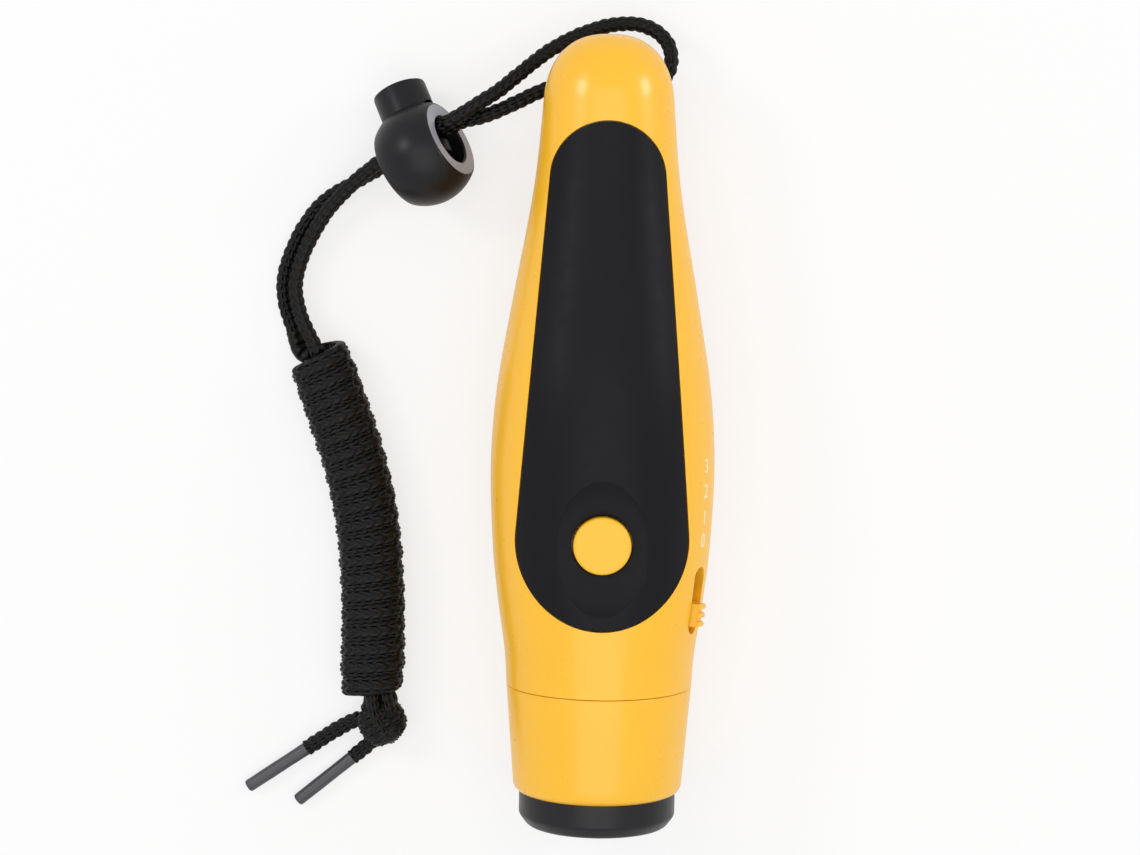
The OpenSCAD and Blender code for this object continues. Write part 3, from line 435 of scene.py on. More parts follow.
def soften(obj, width=None, segments=2, angle=40.0):
    """Rounded moulded edges, taken into the mesh, and smooth shading between them."""
    modifier = obj.modifiers.new("edges", "BEVEL")
    modifier.width = width or sizes().edge_soft
    modifier.segments = segments
    modifier.limit_method = "ANGLE"
    modifier.angle_limit = radians(angle)
    smooth(applied(obj), angle)


def dressed(obj, slot, *nodes, body="whistle", finish=None):
    """Gives a piece its body and its slot's finish or another, and lets it stand for its CAD nodes."""
    obj.data.materials.clear()
    obj.data.materials.append(finishes()[finish or slot])
    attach(obj, body)
    if nodes:
        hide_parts(*nodes)
    return obj


# ---- Finishes
def add_node(tree, kind, output, **inputs):
    """Node whose inputs are values or other nodes' outputs; gives one of its own outputs."""
    node = tree.nodes.new(kind)
    for key, value in inputs.items():
        socket = node.inputs[key.replace("_", " ")]
        if isinstance(value, bpy.types.NodeSocket):
            tree.links.new(value, socket)
        else:
            socket.default_value = value
    return node.outputs[output]


class Finish:
    """Small helper that wires a Principled material node by node."""

    def __init__(self, name):
        self.material = bpy.data.materials.new(name)
        self.material.use_nodes = True
        self.tree = self.material.node_tree
        self.shader = self.tree.nodes["Principled BSDF"]
        self.coords = add_node(self.tree, "ShaderNodeTexCoord", "Object")

    def set(self, **values):
        for key, value in values.items():
            self.shader.inputs[key.replace("_", " ")].default_value = value
        return self

    def noise(self, scale, detail):
        return add_node(self.tree, "ShaderNodeTexNoise", "Fac", Scale=scale, Detail=detail, Roughness=0.5,
                        Vector=self.coords)

    def wire(self, output, name):
        self.tree.links.new(output, self.shader.inputs[name])

    def tint(self, value, colour, low, high):
        """Base colour between two shades of a colour."""
        node = self.tree.nodes.new("ShaderNodeMix")
        node.data_type = "RGBA"
        self.tree.links.new(value, node.inputs[0])
        for i, factor in ((6, low), (7, high)):
            node.inputs[i].default_value = (*(min(1.0, c * factor) for c in colour), 1)
        self.wire(node.outputs[2], "Base Color")

    def surface(self, gloss, rough, grain, strength, depth):
        """Roughness, which spreads the middle of a noise over a range, and bump from another noise."""
        self.wire(add_node(self.tree, "ShaderNodeMapRange", "Result", Value=gloss, From_Min=0.3, From_Max=0.7,
                           To_Min=rough[0], To_Max=rough[1]), "Roughness")
        self.wire(add_node(self.tree, "ShaderNodeBump", "Normal", Strength=strength, Distance=depth,
                           Height=grain), "Normal")
        return self.material


def moulded(name, colour, rough, grain, depth=1e-5, strength=0.10, spread=0.03, **values):
    """Moulded plastic: faint mottling, a fine grain and small changes of gloss."""
    f = Finish(name).set(**values)
    f.tint(f.noise(140, 3), colour, 1 - spread, 1 + spread)
    return f.surface(f.noise(420, 4), rough, f.noise(grain, 2), strength, depth)


def metal(name, colour):
    f = Finish(name).set(Metallic=1.0)
    f.tint(f.noise(300, 3), colour, 0.9, 1.08)
    return f.surface(f.noise(900, 4), (0.25, 0.38), f.noise(2400, 2), 0.12, 1e-5)


def braid(name, colour):
    """Braided yarn: painted shade that darkens the grooves between the raised stitches, fine fibres along the
    stitches and a soft sheen.
    """
    f = Finish(name).set(Sheen_Weight=0.02, Sheen_Roughness=0.4, Specular_IOR_Level=0.15,
                         Sheen_Tint=(0.8, 0.82, 0.9, 1))
    crease_shade = f.tree.nodes.new("ShaderNodeAttribute")
    crease_shade.attribute_name = "crease_shade"
    # Painted shade: the colour falls to a twentieth of itself where the stitch height is low, in the grooves between
    # stitches, and is a little lighter on their crowns
    f.tint(crease_shade.outputs["Fac"], colour, 0.05, 1.2)
    return f.surface(f.noise(2600, 3), (0.26, 0.42), f.noise(6000, 3), 0.3, 3e-5)


def finishes():
    """The object's finishes by record slot, and those of the digits and the lock's rims, whose pale grey is painted
    reflection. What isn't there is made.
    """
    c = colours()
    orange, black, cord, tip = (tuple(v) for v in (c.orange, c.black, c.cord, c.tip))
    # Colour, roughness, grain, its depth and strength, spread of the colour; the makers follow
    recipes = {
        "body_orange": (orange, (0.27, 0.33), 900, 2e-5, 0.05, 0.02),
        "button_orange": (orange, (0.30, 0.38), 2200, 1e-5, 0.15, 0.02),
        "digit_pale": ((0.98, 0.80, 0.55), (0.35, 0.45), 2400),
        "soft_black": (black, (0.38, 0.46), 5200, 3e-5, 0.25, 0.10),
        "head_black": (black, (0.30, 0.38), 3200, 2e-5, 0.14, 0.10),
        "lock_black": (black, (0.31, 0.37), 2600, 2e-5, 0.14, 0.10),
        # Pale grey painted in for the white surroundings seen in the lock's glossy black flat rims: painted
        # reflection, beside the real one from their high specular level
        "cut_rim": ((0.34, 0.35, 0.41), (0.22, 0.28), 2600, 2e-5, 0.14, 0.06),
        "tip_grey": (tip, (0.34, 0.46), 1500, 3e-5, 0.25, 0.12),
        "component_black": ((0.02, 0.02, 0.021), (0.45, 0.55), 4000),
        "inner_grey": ((0.16, 0.16, 0.17), (0.40, 0.50), 3000),
        "board_green": ((0.03, 0.18, 0.08), (0.25, 0.35), 1200),
        "cell_sleeve": ((0.10, 0.20, 0.14), (0.20, 0.30), 900),
        "coil_brown": ((0.25, 0.12, 0.05), (0.35, 0.50), 2600, 4e-5, 0.4, 0.2),
        "capacitor_blue": ((0.03, 0.04, 0.18), (0.20, 0.30), 900),
        "foam_grey": ((0.10, 0.10, 0.11), (0.80, 0.95), 2600, 15e-5, 0.9, 0.3),
        "lead_red": ((0.50, 0.04, 0.03), (0.35, 0.45), 1500),
        "ceramic_grey": ((0.62, 0.62, 0.60), (0.40, 0.55), 2400),
        "bright_steel": ((0.62, 0.63, 0.65),),
        "spring_steel": ((0.50, 0.51, 0.53),),
        "brass_disc": ((0.78, 0.58, 0.27),),
        "braid_black": (cord,),
    }
    makers = {"bright_steel": metal, "spring_steel": metal, "brass_disc": metal, "braid_black": braid}
    gloss = {
        "body_orange": {"Coat_Weight": 0.14, "Coat_Roughness": 0.07},
        "soft_black": {"Specular_IOR_Level": 0.11},
        "head_black": {"Specular_IOR_Level": 0.28},
        "lock_black": {"Specular_IOR_Level": 0.22},
        "cut_rim": {"Specular_IOR_Level": 0.7},
    }
    for name, values in recipes.items():
        if f"{name}_finish" not in bpy.data.materials:
            makers.get(name, moulded)(f"{name}_finish", *values, **gloss.get(name, {}))
    return {name: bpy.data.materials[f"{name}_finish"] for name in recipes}


# ---- Cords
def spline(a, b, c, d, f):
    """Point at a share f of the way from b to c, on the smooth curve that passes a, b, c and d."""
    return 0.5 * (2 * b + (c - a) * f + (2 * a - 5 * b + 4 * c - d) * f * f + (3 * b - a - 3 * c + d) * f ** 3)


def with_ends(p):
    """Points with one more at either end, in line with the last two."""
    return [2 * p[0] - p[1], *p, 2 * p[-1] - p[-2]]


def smooth_route(points, per_span=12):
    """Points along a smooth curve through route points in mm, in metres."""
    p = with_ends([Vector(q) * MM for q in points])
    out = []
    for i in range(1, len(p) - 2):
        out += [spline(*p[i - 1:i + 3], k / per_span) for k in range(per_span)]
    out.append(p[-2])
    return out


def respaced(points, step):
    """Points at an even step along a line of points, and the line's length."""
    run = [0.0]
    for a, b in zip(points, points[1:]):
        run.append(run[-1] + (b - a).length)
    count = max(2, round(run[-1] / step))
    out, j = [], 0
    for i in range(count + 1):
        reach = run[-1] * i / count
        while j < len(run) - 2 and run[j + 1] < reach:
            j += 1
        span = run[j + 1] - run[j]
        out.append(points[j].lerp(points[j + 1], (reach - run[j]) / span if span else 0))
    return out, run[-1]


def signed_power(x, power):
    return copysign(abs(x) ** power, x)


def braided(name, points, diameter, outward=None, sides=48, step=0.0002, width=1.0, square=2.0, relief=0.28,
            columns=5):
    """Braided tube along points, its yarns in columns of V-shaped stitches. Outward gives the side that keeps
    facing out: then the columns lie on that side only and the tube is squared to width. Gives the tube, points
    of its path and its length."""
    path, length = respaced(points, step)
    bm = bmesh.new()
    crease_shade = bm.verts.layers.float.new("crease_shade")
    normal = Vector((0, 0, 1))
    rings, run = [], 0.0
    # Angles of the section's points, and the place of each among the columns of stitches
    if outward:
        face = sides * 3 // 4
        spread = [(2 * k + 1) / face - 1 for k in range(face)]
        turns = [asin(signed_power(u, square / 2)) for u in spread]
        turns += [pi * (0.5 + (k + 1) / (sides - face + 1)) for k in range(sides - face)]
        places = [columns * (u + 1) / 2 for u in spread] + [0.25] * (sides - face)
    else:
        turns = [tau * k / sides for k in range(sides)]
        places = [columns * k / sides for k in range(sides)]
    section = [(signed_power(cos(a), 2 / square), signed_power(sin(a), 2 / square)) for a in turns]
    legs = [abs(2 * (place % 1) - 1) for place in places]
    across = [sin(pi * leg) ** 0.45 if 0 < leg < 1 else 0.0 for leg in legs]
    for i, point in enumerate(path):
        ahead, behind = path[min(i + 1, len(path) - 1)], path[max(i - 1, 0)]
        way = (ahead - behind).normalized()
        if i:
            run += (point - path[i - 1]).length
        if outward:
            normal = outward(point)
        normal = (normal - normal.dot(way) * way).normalized()
        cross = way.cross(normal)
        ring = []
        swell = 1 + BRAID_SWELL * noise.noise(point * 400) if outward else 1
        wide = 1 + (width - 1) * min(1, run / (BRAID_TAPER * MM), (length - run) / (BRAID_TAPER * MM))
        for k in range(sides):
            row = run / STITCH + STITCH_SLANT * legs[k]
            loose = noise.cell(Vector((floor(row) + 0.5, floor(places[k]) + 0.5, length * 900)))
            height = sin(pi * (row % 1)) ** 0.8 * across[k] * (1 - STITCH_LOOSE * abs(loose))
            r = diameter / 2 * (1 - relief + relief * height) * swell
            x, y = section[k]
            place = point + normal * x * r + cross * y * (wide * diameter / 2 if outward else r)
            place.z = max(place.z, TABLE_CLEAR * MM)
            vert = bm.verts.new(place)
            # Stitch height, from which the finish paints shade into the low grooves between stitches
            vert[crease_shade] = height ** 1.5
            ring.append(vert)
        rings.append(ring)
    for a, b in zip(rings, rings[1:]):
        for k in range(sides):
            bm.faces.new((a[k], a[(k + 1) % sides], b[(k + 1) % sides], b[k]))
    bm.faces.new(list(reversed(rings[0])))
    bm.faces.new(rings[-1])
    obj = finish_mesh(bm, name, recalc=False)
    smooth(obj, 80)
    return obj, path[::4] + [path[-1]], length


def grip_point(t):
    """Point (x, y) in mm on the grip's centre line, at a share of its length."""
    n = len(GRIP) - 1
    i = min(int(t * n), n - 1)
    return spline(*with_ends([Vector(q) for q in GRIP])[i:i + 4], t * n - i)


def grip_frame(t):
    """The same point with the line's way there and its left side."""
    way = (grip_point(min(1, t + 0.01)) - grip_point(max(0, t - 0.01))).normalized()
    return grip_point(t), way, Vector((-way.y, way.x))


def wound(t, angle):
    """Point in mm of the winding's centre line: the turns are narrower at both ends of the grip."""
    c, _, side = grip_frame(t)
    a = radians(angle)
    reach = GRIP_END_W + (GRIP_HALF_W - GRIP_END_W) * min(1, t / GRIP_SHOULDER, (1 - t) / GRIP_SHOULDER)
    return Vector((c.x + reach * sin(a) * side.x, c.y + reach * sin(a) * side.y,
                   GRIP_Z - GRIP_HALF_H * cos(a)))


def grip_outward():
    """Function that gives the way out from the grip's centre line at a point."""
    line = [grip_frame(i / 300) for i in range(301)]

    def outward(point):
        flat = Vector((point.x, point.y)) / MM
        # The grip bends, so only the part of its line that is near can be the foot of the point
        centre = min(line, key=lambda q: abs((flat - q[0]).dot(q[1])) + (1000 if (flat - q[0]).length > 8 else 0))[0]
        return Vector((flat.x - centre.x, flat.y - centre.y, point.z / MM - GRIP_Z)).normalized()
    return outward


def winding_end(t, angle, sign):
    """Bend at an end of the winding and its straight run, outwards from the turns."""
    _, way, side = (v.to_3d() for v in grip_frame(t))
    turns = [radians(a) for a in range(15, 105, 15)]
    bend = [wound(t, angle) + sign * GRIP_BEND * ((1 - cos(a)) * way + sin(a) * side) for a in turns]
    return bend + [bend[-1] + sign * CORD_D * way]


def winding_route(per_turn=48):
    """The winding's straight run in, its turns and its run out, in metres."""
    total = GRIP_TURNS * per_turn
    turns = [wound(i / total, 360 * i / per_turn) for i in range(total + 1)]
    return [p * MM for p in winding_end(0, 0, -1)[::-1] + turns + winding_end(1, 360 * GRIP_TURNS, 1)]


class WHISTLE_OT_camera(bpy.types.Operator):
    """Camera above the whistle, a little towards the dome"""
    bl_idname = "whistle.camera"
    bl_label = "Camera"

    def execute(self, context):
        place = Vector(CAMERA_AT)
        view = (Vector(CAMERA_AIM) - place).normalized()
        north = Vector((0, 1, 0))
        north = (north - view * north.dot(view)).normalized()
        east = view.cross(north)
        roll = radians(CAMERA_ROLL)
        up = north * cos(roll) - east * sin(roll)
        right = view.cross(up)
        data = bpy.data.cameras.new("view")
        data.sensor_width = 36
        data.lens = CAMERA_FOCAL * data.sensor_width
        data.clip_start = 0.01
        data.clip_end = 20
        camera = new_object("view", data)
        camera.matrix_world = Matrix.Translation(place) @ Matrix((right, up, -view)).transposed().to_4x4()
        context.scene.camera = camera
        return {"FINISHED"}


class WHISTLE_OT_lanyard(bpy.types.Operator):
    """Braided lanyard: the two strands through the lock, the strand in the dome's hole, the core and the winding"""
    bl_idname = "whistle.lanyard"
    bl_label = "Lanyard"

    def execute(self, context):
        d = sizes().cord_d

        def strand(name, route, replaced):
            obj, path, length = braided(name, smooth_route(route), d * 1.08)
            dressed(obj, "braid_black", *replaced)

        # Two strands leave the dome's hole, pass the lock and go into the wound grip
        w, top = grip_frame(0)[1].to_3d(), Vector((*GRIP[0], GRIP_Z))
        route = winding_route()
        start = route[0] / MM
        strand("strand_long", LONG_STRAND + [tuple(top - 2 * w), tuple(top)], ["lanyard_cord"])
        strand("strand_short", SHORT_STRAND + [tuple(start - 2 * w), tuple(start)], [])
        # Strand inside the dome's hole, seen through its two mouths
        inner, _, _ = braided("strand_in_hole", [Vector(p) * MM for p in HOLE_STRAND], d)
        dressed(inner, "braid_black")
        # The winding's turns press flat against each other
        wrap, path, length = braided("grip_winding", route, d * 1.06, grip_outward(), width=1.40, square=2.5,
                                     **FLAT_BRAID)
        dressed(wrap, "braid_black", "grip_wrap")
        # The two strands inside the winding
        for i, off in enumerate((-CORE_OFFSET, CORE_OFFSET)):
            line = []
            for k in range(41):
                c, _, side = grip_frame(k / 40)
                line.append(Vector((*(c + off * side), GRIP_Z)) * MM)
            inner, _, _ = braided(f"core_strand_{i}", line, d, sides=20, step=0.0005, relief=0.08)
            dressed(inner, "braid_black", *(["grip_core"] if i == 0 else []))
        return {"FINISHED"}


class WHISTLE_OT_knot(bpy.types.Operator):
    """Stopper knot below the grip, the two tails and their shrunk tips"""
    bl_idname = "whistle.knot"
    bl_label = "Knot and tails"

    def execute(self, context):
        d = sizes().cord_d
        route = [KNOT_START]
        for i in range(KNOT_POINTS):
            share = i / (KNOT_POINTS // 2) - 1
            a = radians(KNOT_FIRST + KNOT_TURN * i)
            out = KNOT_R * sqrt(1 - (KNOT_POLE * share) ** 2)
            way = KNOT_SIDE * cos(a) + Vector((0, 0, KNOT_FLAT)) * sin(a)
            route.append(tuple(KNOT_CENTRE + KNOT_AXIS * (KNOT_HALF_LEN * share) + way * out))
        knot, _, _ = braided("lanyard_knot", smooth_route(route, 6), d, width=1.3, square=2.4,
                             outward=lambda p: (p - KNOT_CENTRE * MM).normalized(), **FLAT_BRAID)
        bm = bmesh.new()
        bm.from_mesh(knot.data)
        # The ends that run from the winding over the knot's upper side
        for i, route in enumerate(KNOT_ENDS):
            end, _, _ = braided(f"knot_end_{i}", smooth_route(route, 6), d * 1.1)
            bm.from_mesh(end.data)
            bpy.data.meshes.remove(end.data)
        # What fills the knot
        for x, y, z, r in KNOT_CORE:
            bmesh.ops.create_uvsphere(bm, u_segments=32, v_segments=16, radius=r * MM,
                                      matrix=Matrix.Translation((KNOT_CENTRE + Vector((x, y, z))) * MM))
        bm.to_mesh(knot.data)
        bm.free()
        smooth(knot, 80)
        dressed(knot, "braid_black", "end_knot")
        for i, route in enumerate(TAILS):
            tail, _, _ = braided(f"tail_cord_{i}", smooth_route(route), d * 1.18)
            dressed(tail, "braid_black", *(["tail_cords"] if i == 0 else []))
            a, b = Vector(route[-2]), Vector(route[-1])
            turn = (b - a).to_track_quat("Z", "Y").to_matrix()
            tip = lathed(f"cord_tip_{i}", TIP_PROFILE, route[-1], turn, 48)
            dressed(tip, "tip_grey", *(["tail_tips"] if i == 0 else []))
        return {"FINISHED"}


def lock_turn():
    """Turn from the lock's own frame: its cord hole along X, its plunger along Z."""
    z = Vector(PLUNGER_DIR).normalized()
    y = z.cross(Vector(HOLE_DIR)).normalized()
    x = y.cross(z)
    return Matrix((x, y, z)).transposed()


class WHISTLE_OT_cord_lock(bpy.types.Operator):
    """Ball of the cord lock with its flat rims and cord hole, the sprung plunger and the coil under it"""
    bl_idname = "whistle.cord_lock"
    bl_label = "Cord lock"

    def execute(self, context):
        r = sizes().ball_d / 2 / MM
        turn = lock_turn()
        flat, hole, rim = BALL_FLAT, BALL_HOLE_R, sqrt(r * r - BALL_FLAT * BALL_FLAT)
        first = degrees(acos(flat / r))
        angles = [radians(first + i * (180 - 2 * first) / 40) for i in range(1, 40)]
        end = [(hole, -flat + 0.3), (hole + 0.3, -flat), (rim - 0.25, -flat), (rim - 0.05, -flat + 0.07)]
        profile = end + [(r * sin(a), -r * cos(a)) for a in angles] + [(x, -z) for x, z in reversed(end)]
        ball = lathed("cord_lock_ball", profile, BALL, turn @ ALONG_X, 160, closed=True)
        cut(ball, lathed("bore", BORE_PROFILE, BALL, turn))
        smooth(ball, 32)
        dressed(ball, "lock_black", "lock_ball")
        # The two flat rims have a finish of their own: a pale grey that is painted reflection of the white
        # surroundings in their glossy black faces
        ball.data.materials.append(finishes()["cut_rim"])
        way = Vector(HOLE_DIR).normalized()
        for face in ball.data.polygons:
            if abs(face.normal.dot(way)) > 0.99 and abs((face.center / MM - Vector(BALL)).dot(way)) > flat - 0.2:
                face.material_index = 1
        plunger = lathed("cord_lock_plunger", PLUNGER_PROFILE, BALL, turn)
        cross = rod("cross", PLUNGER_HOLE_R, -12, 12, steps=96)
        for matrix in (ALONG_X.to_4x4(), placed((0, 0, PLUNGER_HOLE_AT)), placed(BALL, turn)):
            cross.data.transform(matrix)
        cut(plunger, cross)
        smooth(plunger, 32)
        # Coil under the plunger, between the bore's floor and the plunger's foot
        dressed(plunger, "lock_black", "lock_plunger", body="plunger")
        # Coil under the plunger: it shortens as the plunger goes in
        steps = SPRING_STEPS * SPRING_TURNS
        low = SPRING_FLOOR + SPRING_WIRE / 2 + SPRING_END_GAP
        high = PLUNGER_FOOT - SPRING_WIRE / 2 - SPRING_END_GAP
        bm = bmesh.new()
        bmesh.ops.create_circle(bm, radius=SPRING_WIRE / 2 * MM, segments=12)
        bmesh.ops.rotate(bm, verts=bm.verts, matrix=Matrix.Rotation(radians(90), 3, "X"))
        bmesh.ops.translate(bm, verts=bm.verts, vec=(SPRING_R * MM, 0, low * MM))
        bmesh.ops.spin(bm, geom=bm.verts[:] + bm.edges[:], axis=(0, 0, 1), angle=tau * SPRING_TURNS, steps=steps,
                       dvec=(0, 0, (high - low) / steps * MM))
        bmesh.ops.holes_fill(bm, edges=bm.edges, sides=0)
        bmesh.ops.transform(bm, verts=bm.verts, matrix=placed(BALL, turn))
        coil = finish_mesh(bm, "cord_lock_coil")
        smooth(coil)
        dressed(coil, "spring_steel", "lock_spring")
        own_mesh(coil)
        return {"FINISHED"}


# ---- Whistle body
def arc(x, y, radius, start, sweep, steps):
    """Points of an arc round (x, y) in mm, its angles in degrees."""
    angles = [radians(start + sweep * i / steps) for i in range(steps + 1)]
    return [(x + radius * cos(a), y + radius * sin(a)) for a in angles]


def panel_outline(grow):
    """Outline of the grip panel: a large round end and a small one with straight sides."""
    (y0, r0), (y1, r1) = PANEL_LOW, PANEL_TOP
    tilt = degrees(asin((r0 - r1) / (y1 - y0)))
    return arc(0, y1, r1 + grow, tilt, 180 - 2 * tilt, 96) + arc(0, y0, r0 + grow, 180 - tilt, 180 + 2 * tilt, 96)


def door_outline(grow=0.0):
    return [p for x, y, start in DOOR_CORNERS for p in arc(x, y, DOOR_CORNER_R + grow, start, 90, 10)]


def dish_outline(grow, steps=96):
    """Oval round the thumb dish."""
    w, h = (DISH_W + grow) / 2, (DISH_LEN + grow) / 2
    return [(w * cos(tau * i / steps), DISH_Y + h * sin(tau * i / steps)) for i in range(steps)]


def slot_matrix():
    """The selector's own frame: its slide along Y, and X out of the body's side."""
    place = Matrix.Translation(on_body(SLOT_Y, SLOT_ANGLE))
    return place @ Matrix.Rotation(radians(SLOT_YAW), 4, "Z") @ Matrix.Rotation(radians(SLOT_TILT), 4, "Y")


def slot_bar():
    """Round-ended bar that cuts the selector's slot."""
    r, reach = SLOT_W / 2, (SLOT_LEN - SLOT_W) / 2
    outline = arc(0, reach, r, 0, 180, 24) + arc(0, -reach, r, 180, 180, 24)
    bar = prism("slot", [(-x, y) for x, y in outline], -WALL - 2, 3)
    bar.data.transform(ALONG_X.to_4x4())
    bar.data.transform(slot_matrix())
    return bar


def head_socket():
    return rod("socket", SOCKET_R, JOINT_Y - 3.6, JOINT_Y + 3.8, (0, 0, AXIS_Z), ALONG_Y, 128)


class WHISTLE_OT_shells(bpy.types.Operator):
    """The two orange shells, with the panel's recess, the selector's slot, the door's opening and the screw wells"""
    bl_idname = "whistle.shells"
    bl_label = "Body shells"

    def execute(self, context):
        front = cut(skin("skin"), hollow())
        back = new_object("back_half", front.data.copy())
        # Front shell
        keep(front, block("front", (-60, -100, AXIS_Z), (60, 100, 60)))
        recess = cut(prism("recess", panel_outline(RECESS_GROW), AXIS_Z + 2, 60), under_panel())
        cut(front, recess, prism("opening", dish_outline(2.6), AXIS_Z + 5, 60), slot_bar(), head_socket())
        front.name = "whistle_front_shell"
        soften(front)
        dressed(front, "body_orange", "front_shell")
        # Back shell
        keep(back, block("back", (-60, -100, -20), (60, 100, AXIS_Z)))
        walls = [rod("tunnel_wall", CORD_HOLE_R + 1, -10.0, 10.0, CORD_HOLE, ALONG_X)]
        walls += [rod("well", SCREW_WELL_R, -1, AXIS_Z - 0.01, (x, y, 0), steps=32) for x, y in SCREWS]
        for wall in walls:
            join(back, keep(wall, inside(WALL / 2)))
        cut(back, lathed("tunnel", TUNNEL_PROFILE, CORD_HOLE, ALONG_X, 48),
            prism("door_opening", door_outline(DOOR_GAP), -2, AXIS_Z - 0.1),
            block("notch", (-4.3, -28.6, -2), (4.3, -27.2, 2.35)))
        for x, y in SCREWS:
            cut(back, rod("well", SCREW_HEAD_R, -2, SCREW_HEAD_Z, (x, y, 0), steps=40))
        cut(back, head_socket())
        back.name = "whistle_back_shell"
        soften(back)
        dressed(back, "body_orange", "back_shell")
        return {"FINISHED"}


class WHISTLE_OT_door(bpy.types.Operator):
    """Battery door in the back's own curve, with its finger grooves, hook and catch"""
    bl_idname = "whistle.door"
    bl_label = "Battery door"

    def execute(self, context):
        def skin_z(y):
            return on_body(y, -90).z / MM

        door = cut(skin("whistle_battery_door"), hollow())
        keep(door, prism("door_edge", door_outline(), -2, 16))
        # Finger grooves, round at both ends and each shorter than the one before
        angles = [radians(a) for a in range(0, 91, 15)]
        cap = [(GROOVE_R * sin(a), -GROOVE_R * cos(a)) for a in angles]
        for i in range(GROOVES):
            y, reach = -23.4 + 1.8 * i, 5 - 0.5 * i
            profile = [(r, z - reach) for r, z in cap] + [(r, reach - z) for r, z in reversed(cap)]
            cut(door, lathed("groove", profile, (0, y, skin_z(y) - 0.3), ALONG_X, 24))
        # Catch at one end, and at the other the hook on its foot
        top = skin_z(-27.4) + WALL - 0.6
        low = skin_z(20.6 + 2.4) + WALL + 0.4
        foot = skin_z(16.6) + WALL - 0.6
        join(door, block("catch", (-4, -28.3, top - 0.8), (4, -27.1, top)),
             block("hook_foot", (-1.5, 16.6, foot), (1.5, 19.6, low + 1)),
             block("hook", (-1.5, 16.7, low), (1.5, 23.0, low + 0.99)))
        soften(door)
        dressed(door, "body_orange", "battery_door", body="door")
        return {"FINISHED"}


def dish_bowl():
    """Solid that hollows the thumb dish: an oval bowl that follows the panel's own curve."""
    bm = bmesh.new()
    bmesh.ops.create_circle(bm, radius=0.5, segments=96)
    bmesh.ops.scale(bm, verts=bm.verts, vec=(DISH_W * MM * DISH_RIM, DISH_LEN * MM * DISH_RIM, 1))
    bmesh.ops.translate(bm, verts=bm.verts, vec=(0, DISH_Y * MM, 0.04))
    edges, size = list(bm.edges), DISH_RIM
    bmesh.ops.edgeloop_fill(bm, edges=edges)
    centre = Matrix.Translation((0, -DISH_Y * MM, 0))
    # Rings from just outside the dish, where they stay clear of the panel, to its middle
    for share in [DISH_RIM] + [cos(radians(6 * i)) for i in range(15)] + [0.03]:
        verts, edges = extruded(bm, edges)
        bmesh.ops.scale(bm, verts=verts, vec=(share / size, share / size, 1), space=centre)
        size = share
        for vert in verts:
            x, y = vert.co.x / MM, vert.co.y / MM
            surface = AXIS_Z + half(y, 2) * sqrt(1 - (x / half(y, 1)) ** 2)
            vert.co.z = (surface - DISH_DEPTH * (1 - min(share, 1.0) ** 2) ** 0.85) * MM
            vert.co.z += DISH_CLEAR if share == DISH_RIM else 0
    bmesh.ops.edgeloop_fill(bm, edges=edges)
    return finish_mesh(bm, "bowl")


class WHISTLE_OT_panel(bpy.types.Operator):
    """Black grip panel with its oval thumb dish"""
    bl_idname = "whistle.panel"
    bl_label = "Grip panel"

    def execute(self, context):
        panel = keep(skin("whistle_panel"), prism("edge", panel_outline(PANEL_GROW), AXIS_Z + 2, 60))
        cut(panel, under_panel())
        join(panel, keep(prism("pad", dish_outline(2.2), 29.6, 40), under_panel(PANEL_T / 2)))
        cut(panel, dish_bowl(), rod("hole", BUTTON_HOLE_R, 20, 50, (0, BUTTON_Y, 0), steps=96))
        soften(panel, 0.00022, 3)
        dressed(panel, "soft_black", "grip_panel")
        return {"FINISHED"}


class WHISTLE_OT_button(bpy.types.Operator):
    """Round push button with a softened edge and a faintly crowned top"""
    bl_idname = "whistle.button"
    bl_label = "Push button"

    def execute(self, context):
        r, top = sizes().button_d / 2 / MM, BUTTON_TOP
        # Boss on the stem, flange under the panel, side, softened edge and crown
        profile = [
            (0, 27.6), (2.0, 27.6), (2.0, 28.1), (r + 1.2, 28.1), (r + 1.2, 29.3), (r, 29.3), (r, top - 0.45),
            (r - 0.04, top - 0.28), (r - 0.13, top - 0.14), (r - 0.28, top - 0.05), (r - 0.45, top - 0.01),
            (r - 1.4, top), (0, top),
        ]
        dressed(lathed("whistle_button", profile, (0, BUTTON_Y, 0)), "button_orange", "push_button", body="button")
        return {"FINISHED"}


class WHISTLE_OT_head(bpy.types.Operator):
    """Orange collar and black mouth ring"""
    bl_idname = "whistle.head"
    bl_label = "Sound head"

    def execute(self, context):
        for name, profile, slot, node in (
                ("whistle_collar", COLLAR_EDGE + COLLAR_SIDE + COLLAR_SPIGOT, "body_orange", "head_collar"),
                ("whistle_mouth_ring", MOUTH_RING, "head_black", "mouth_ring")):
            dressed(lathed(name, profile, (0, 0, AXIS_Z), ALONG_Y, 160, closed=True), slot, node)
        return {"FINISHED"}


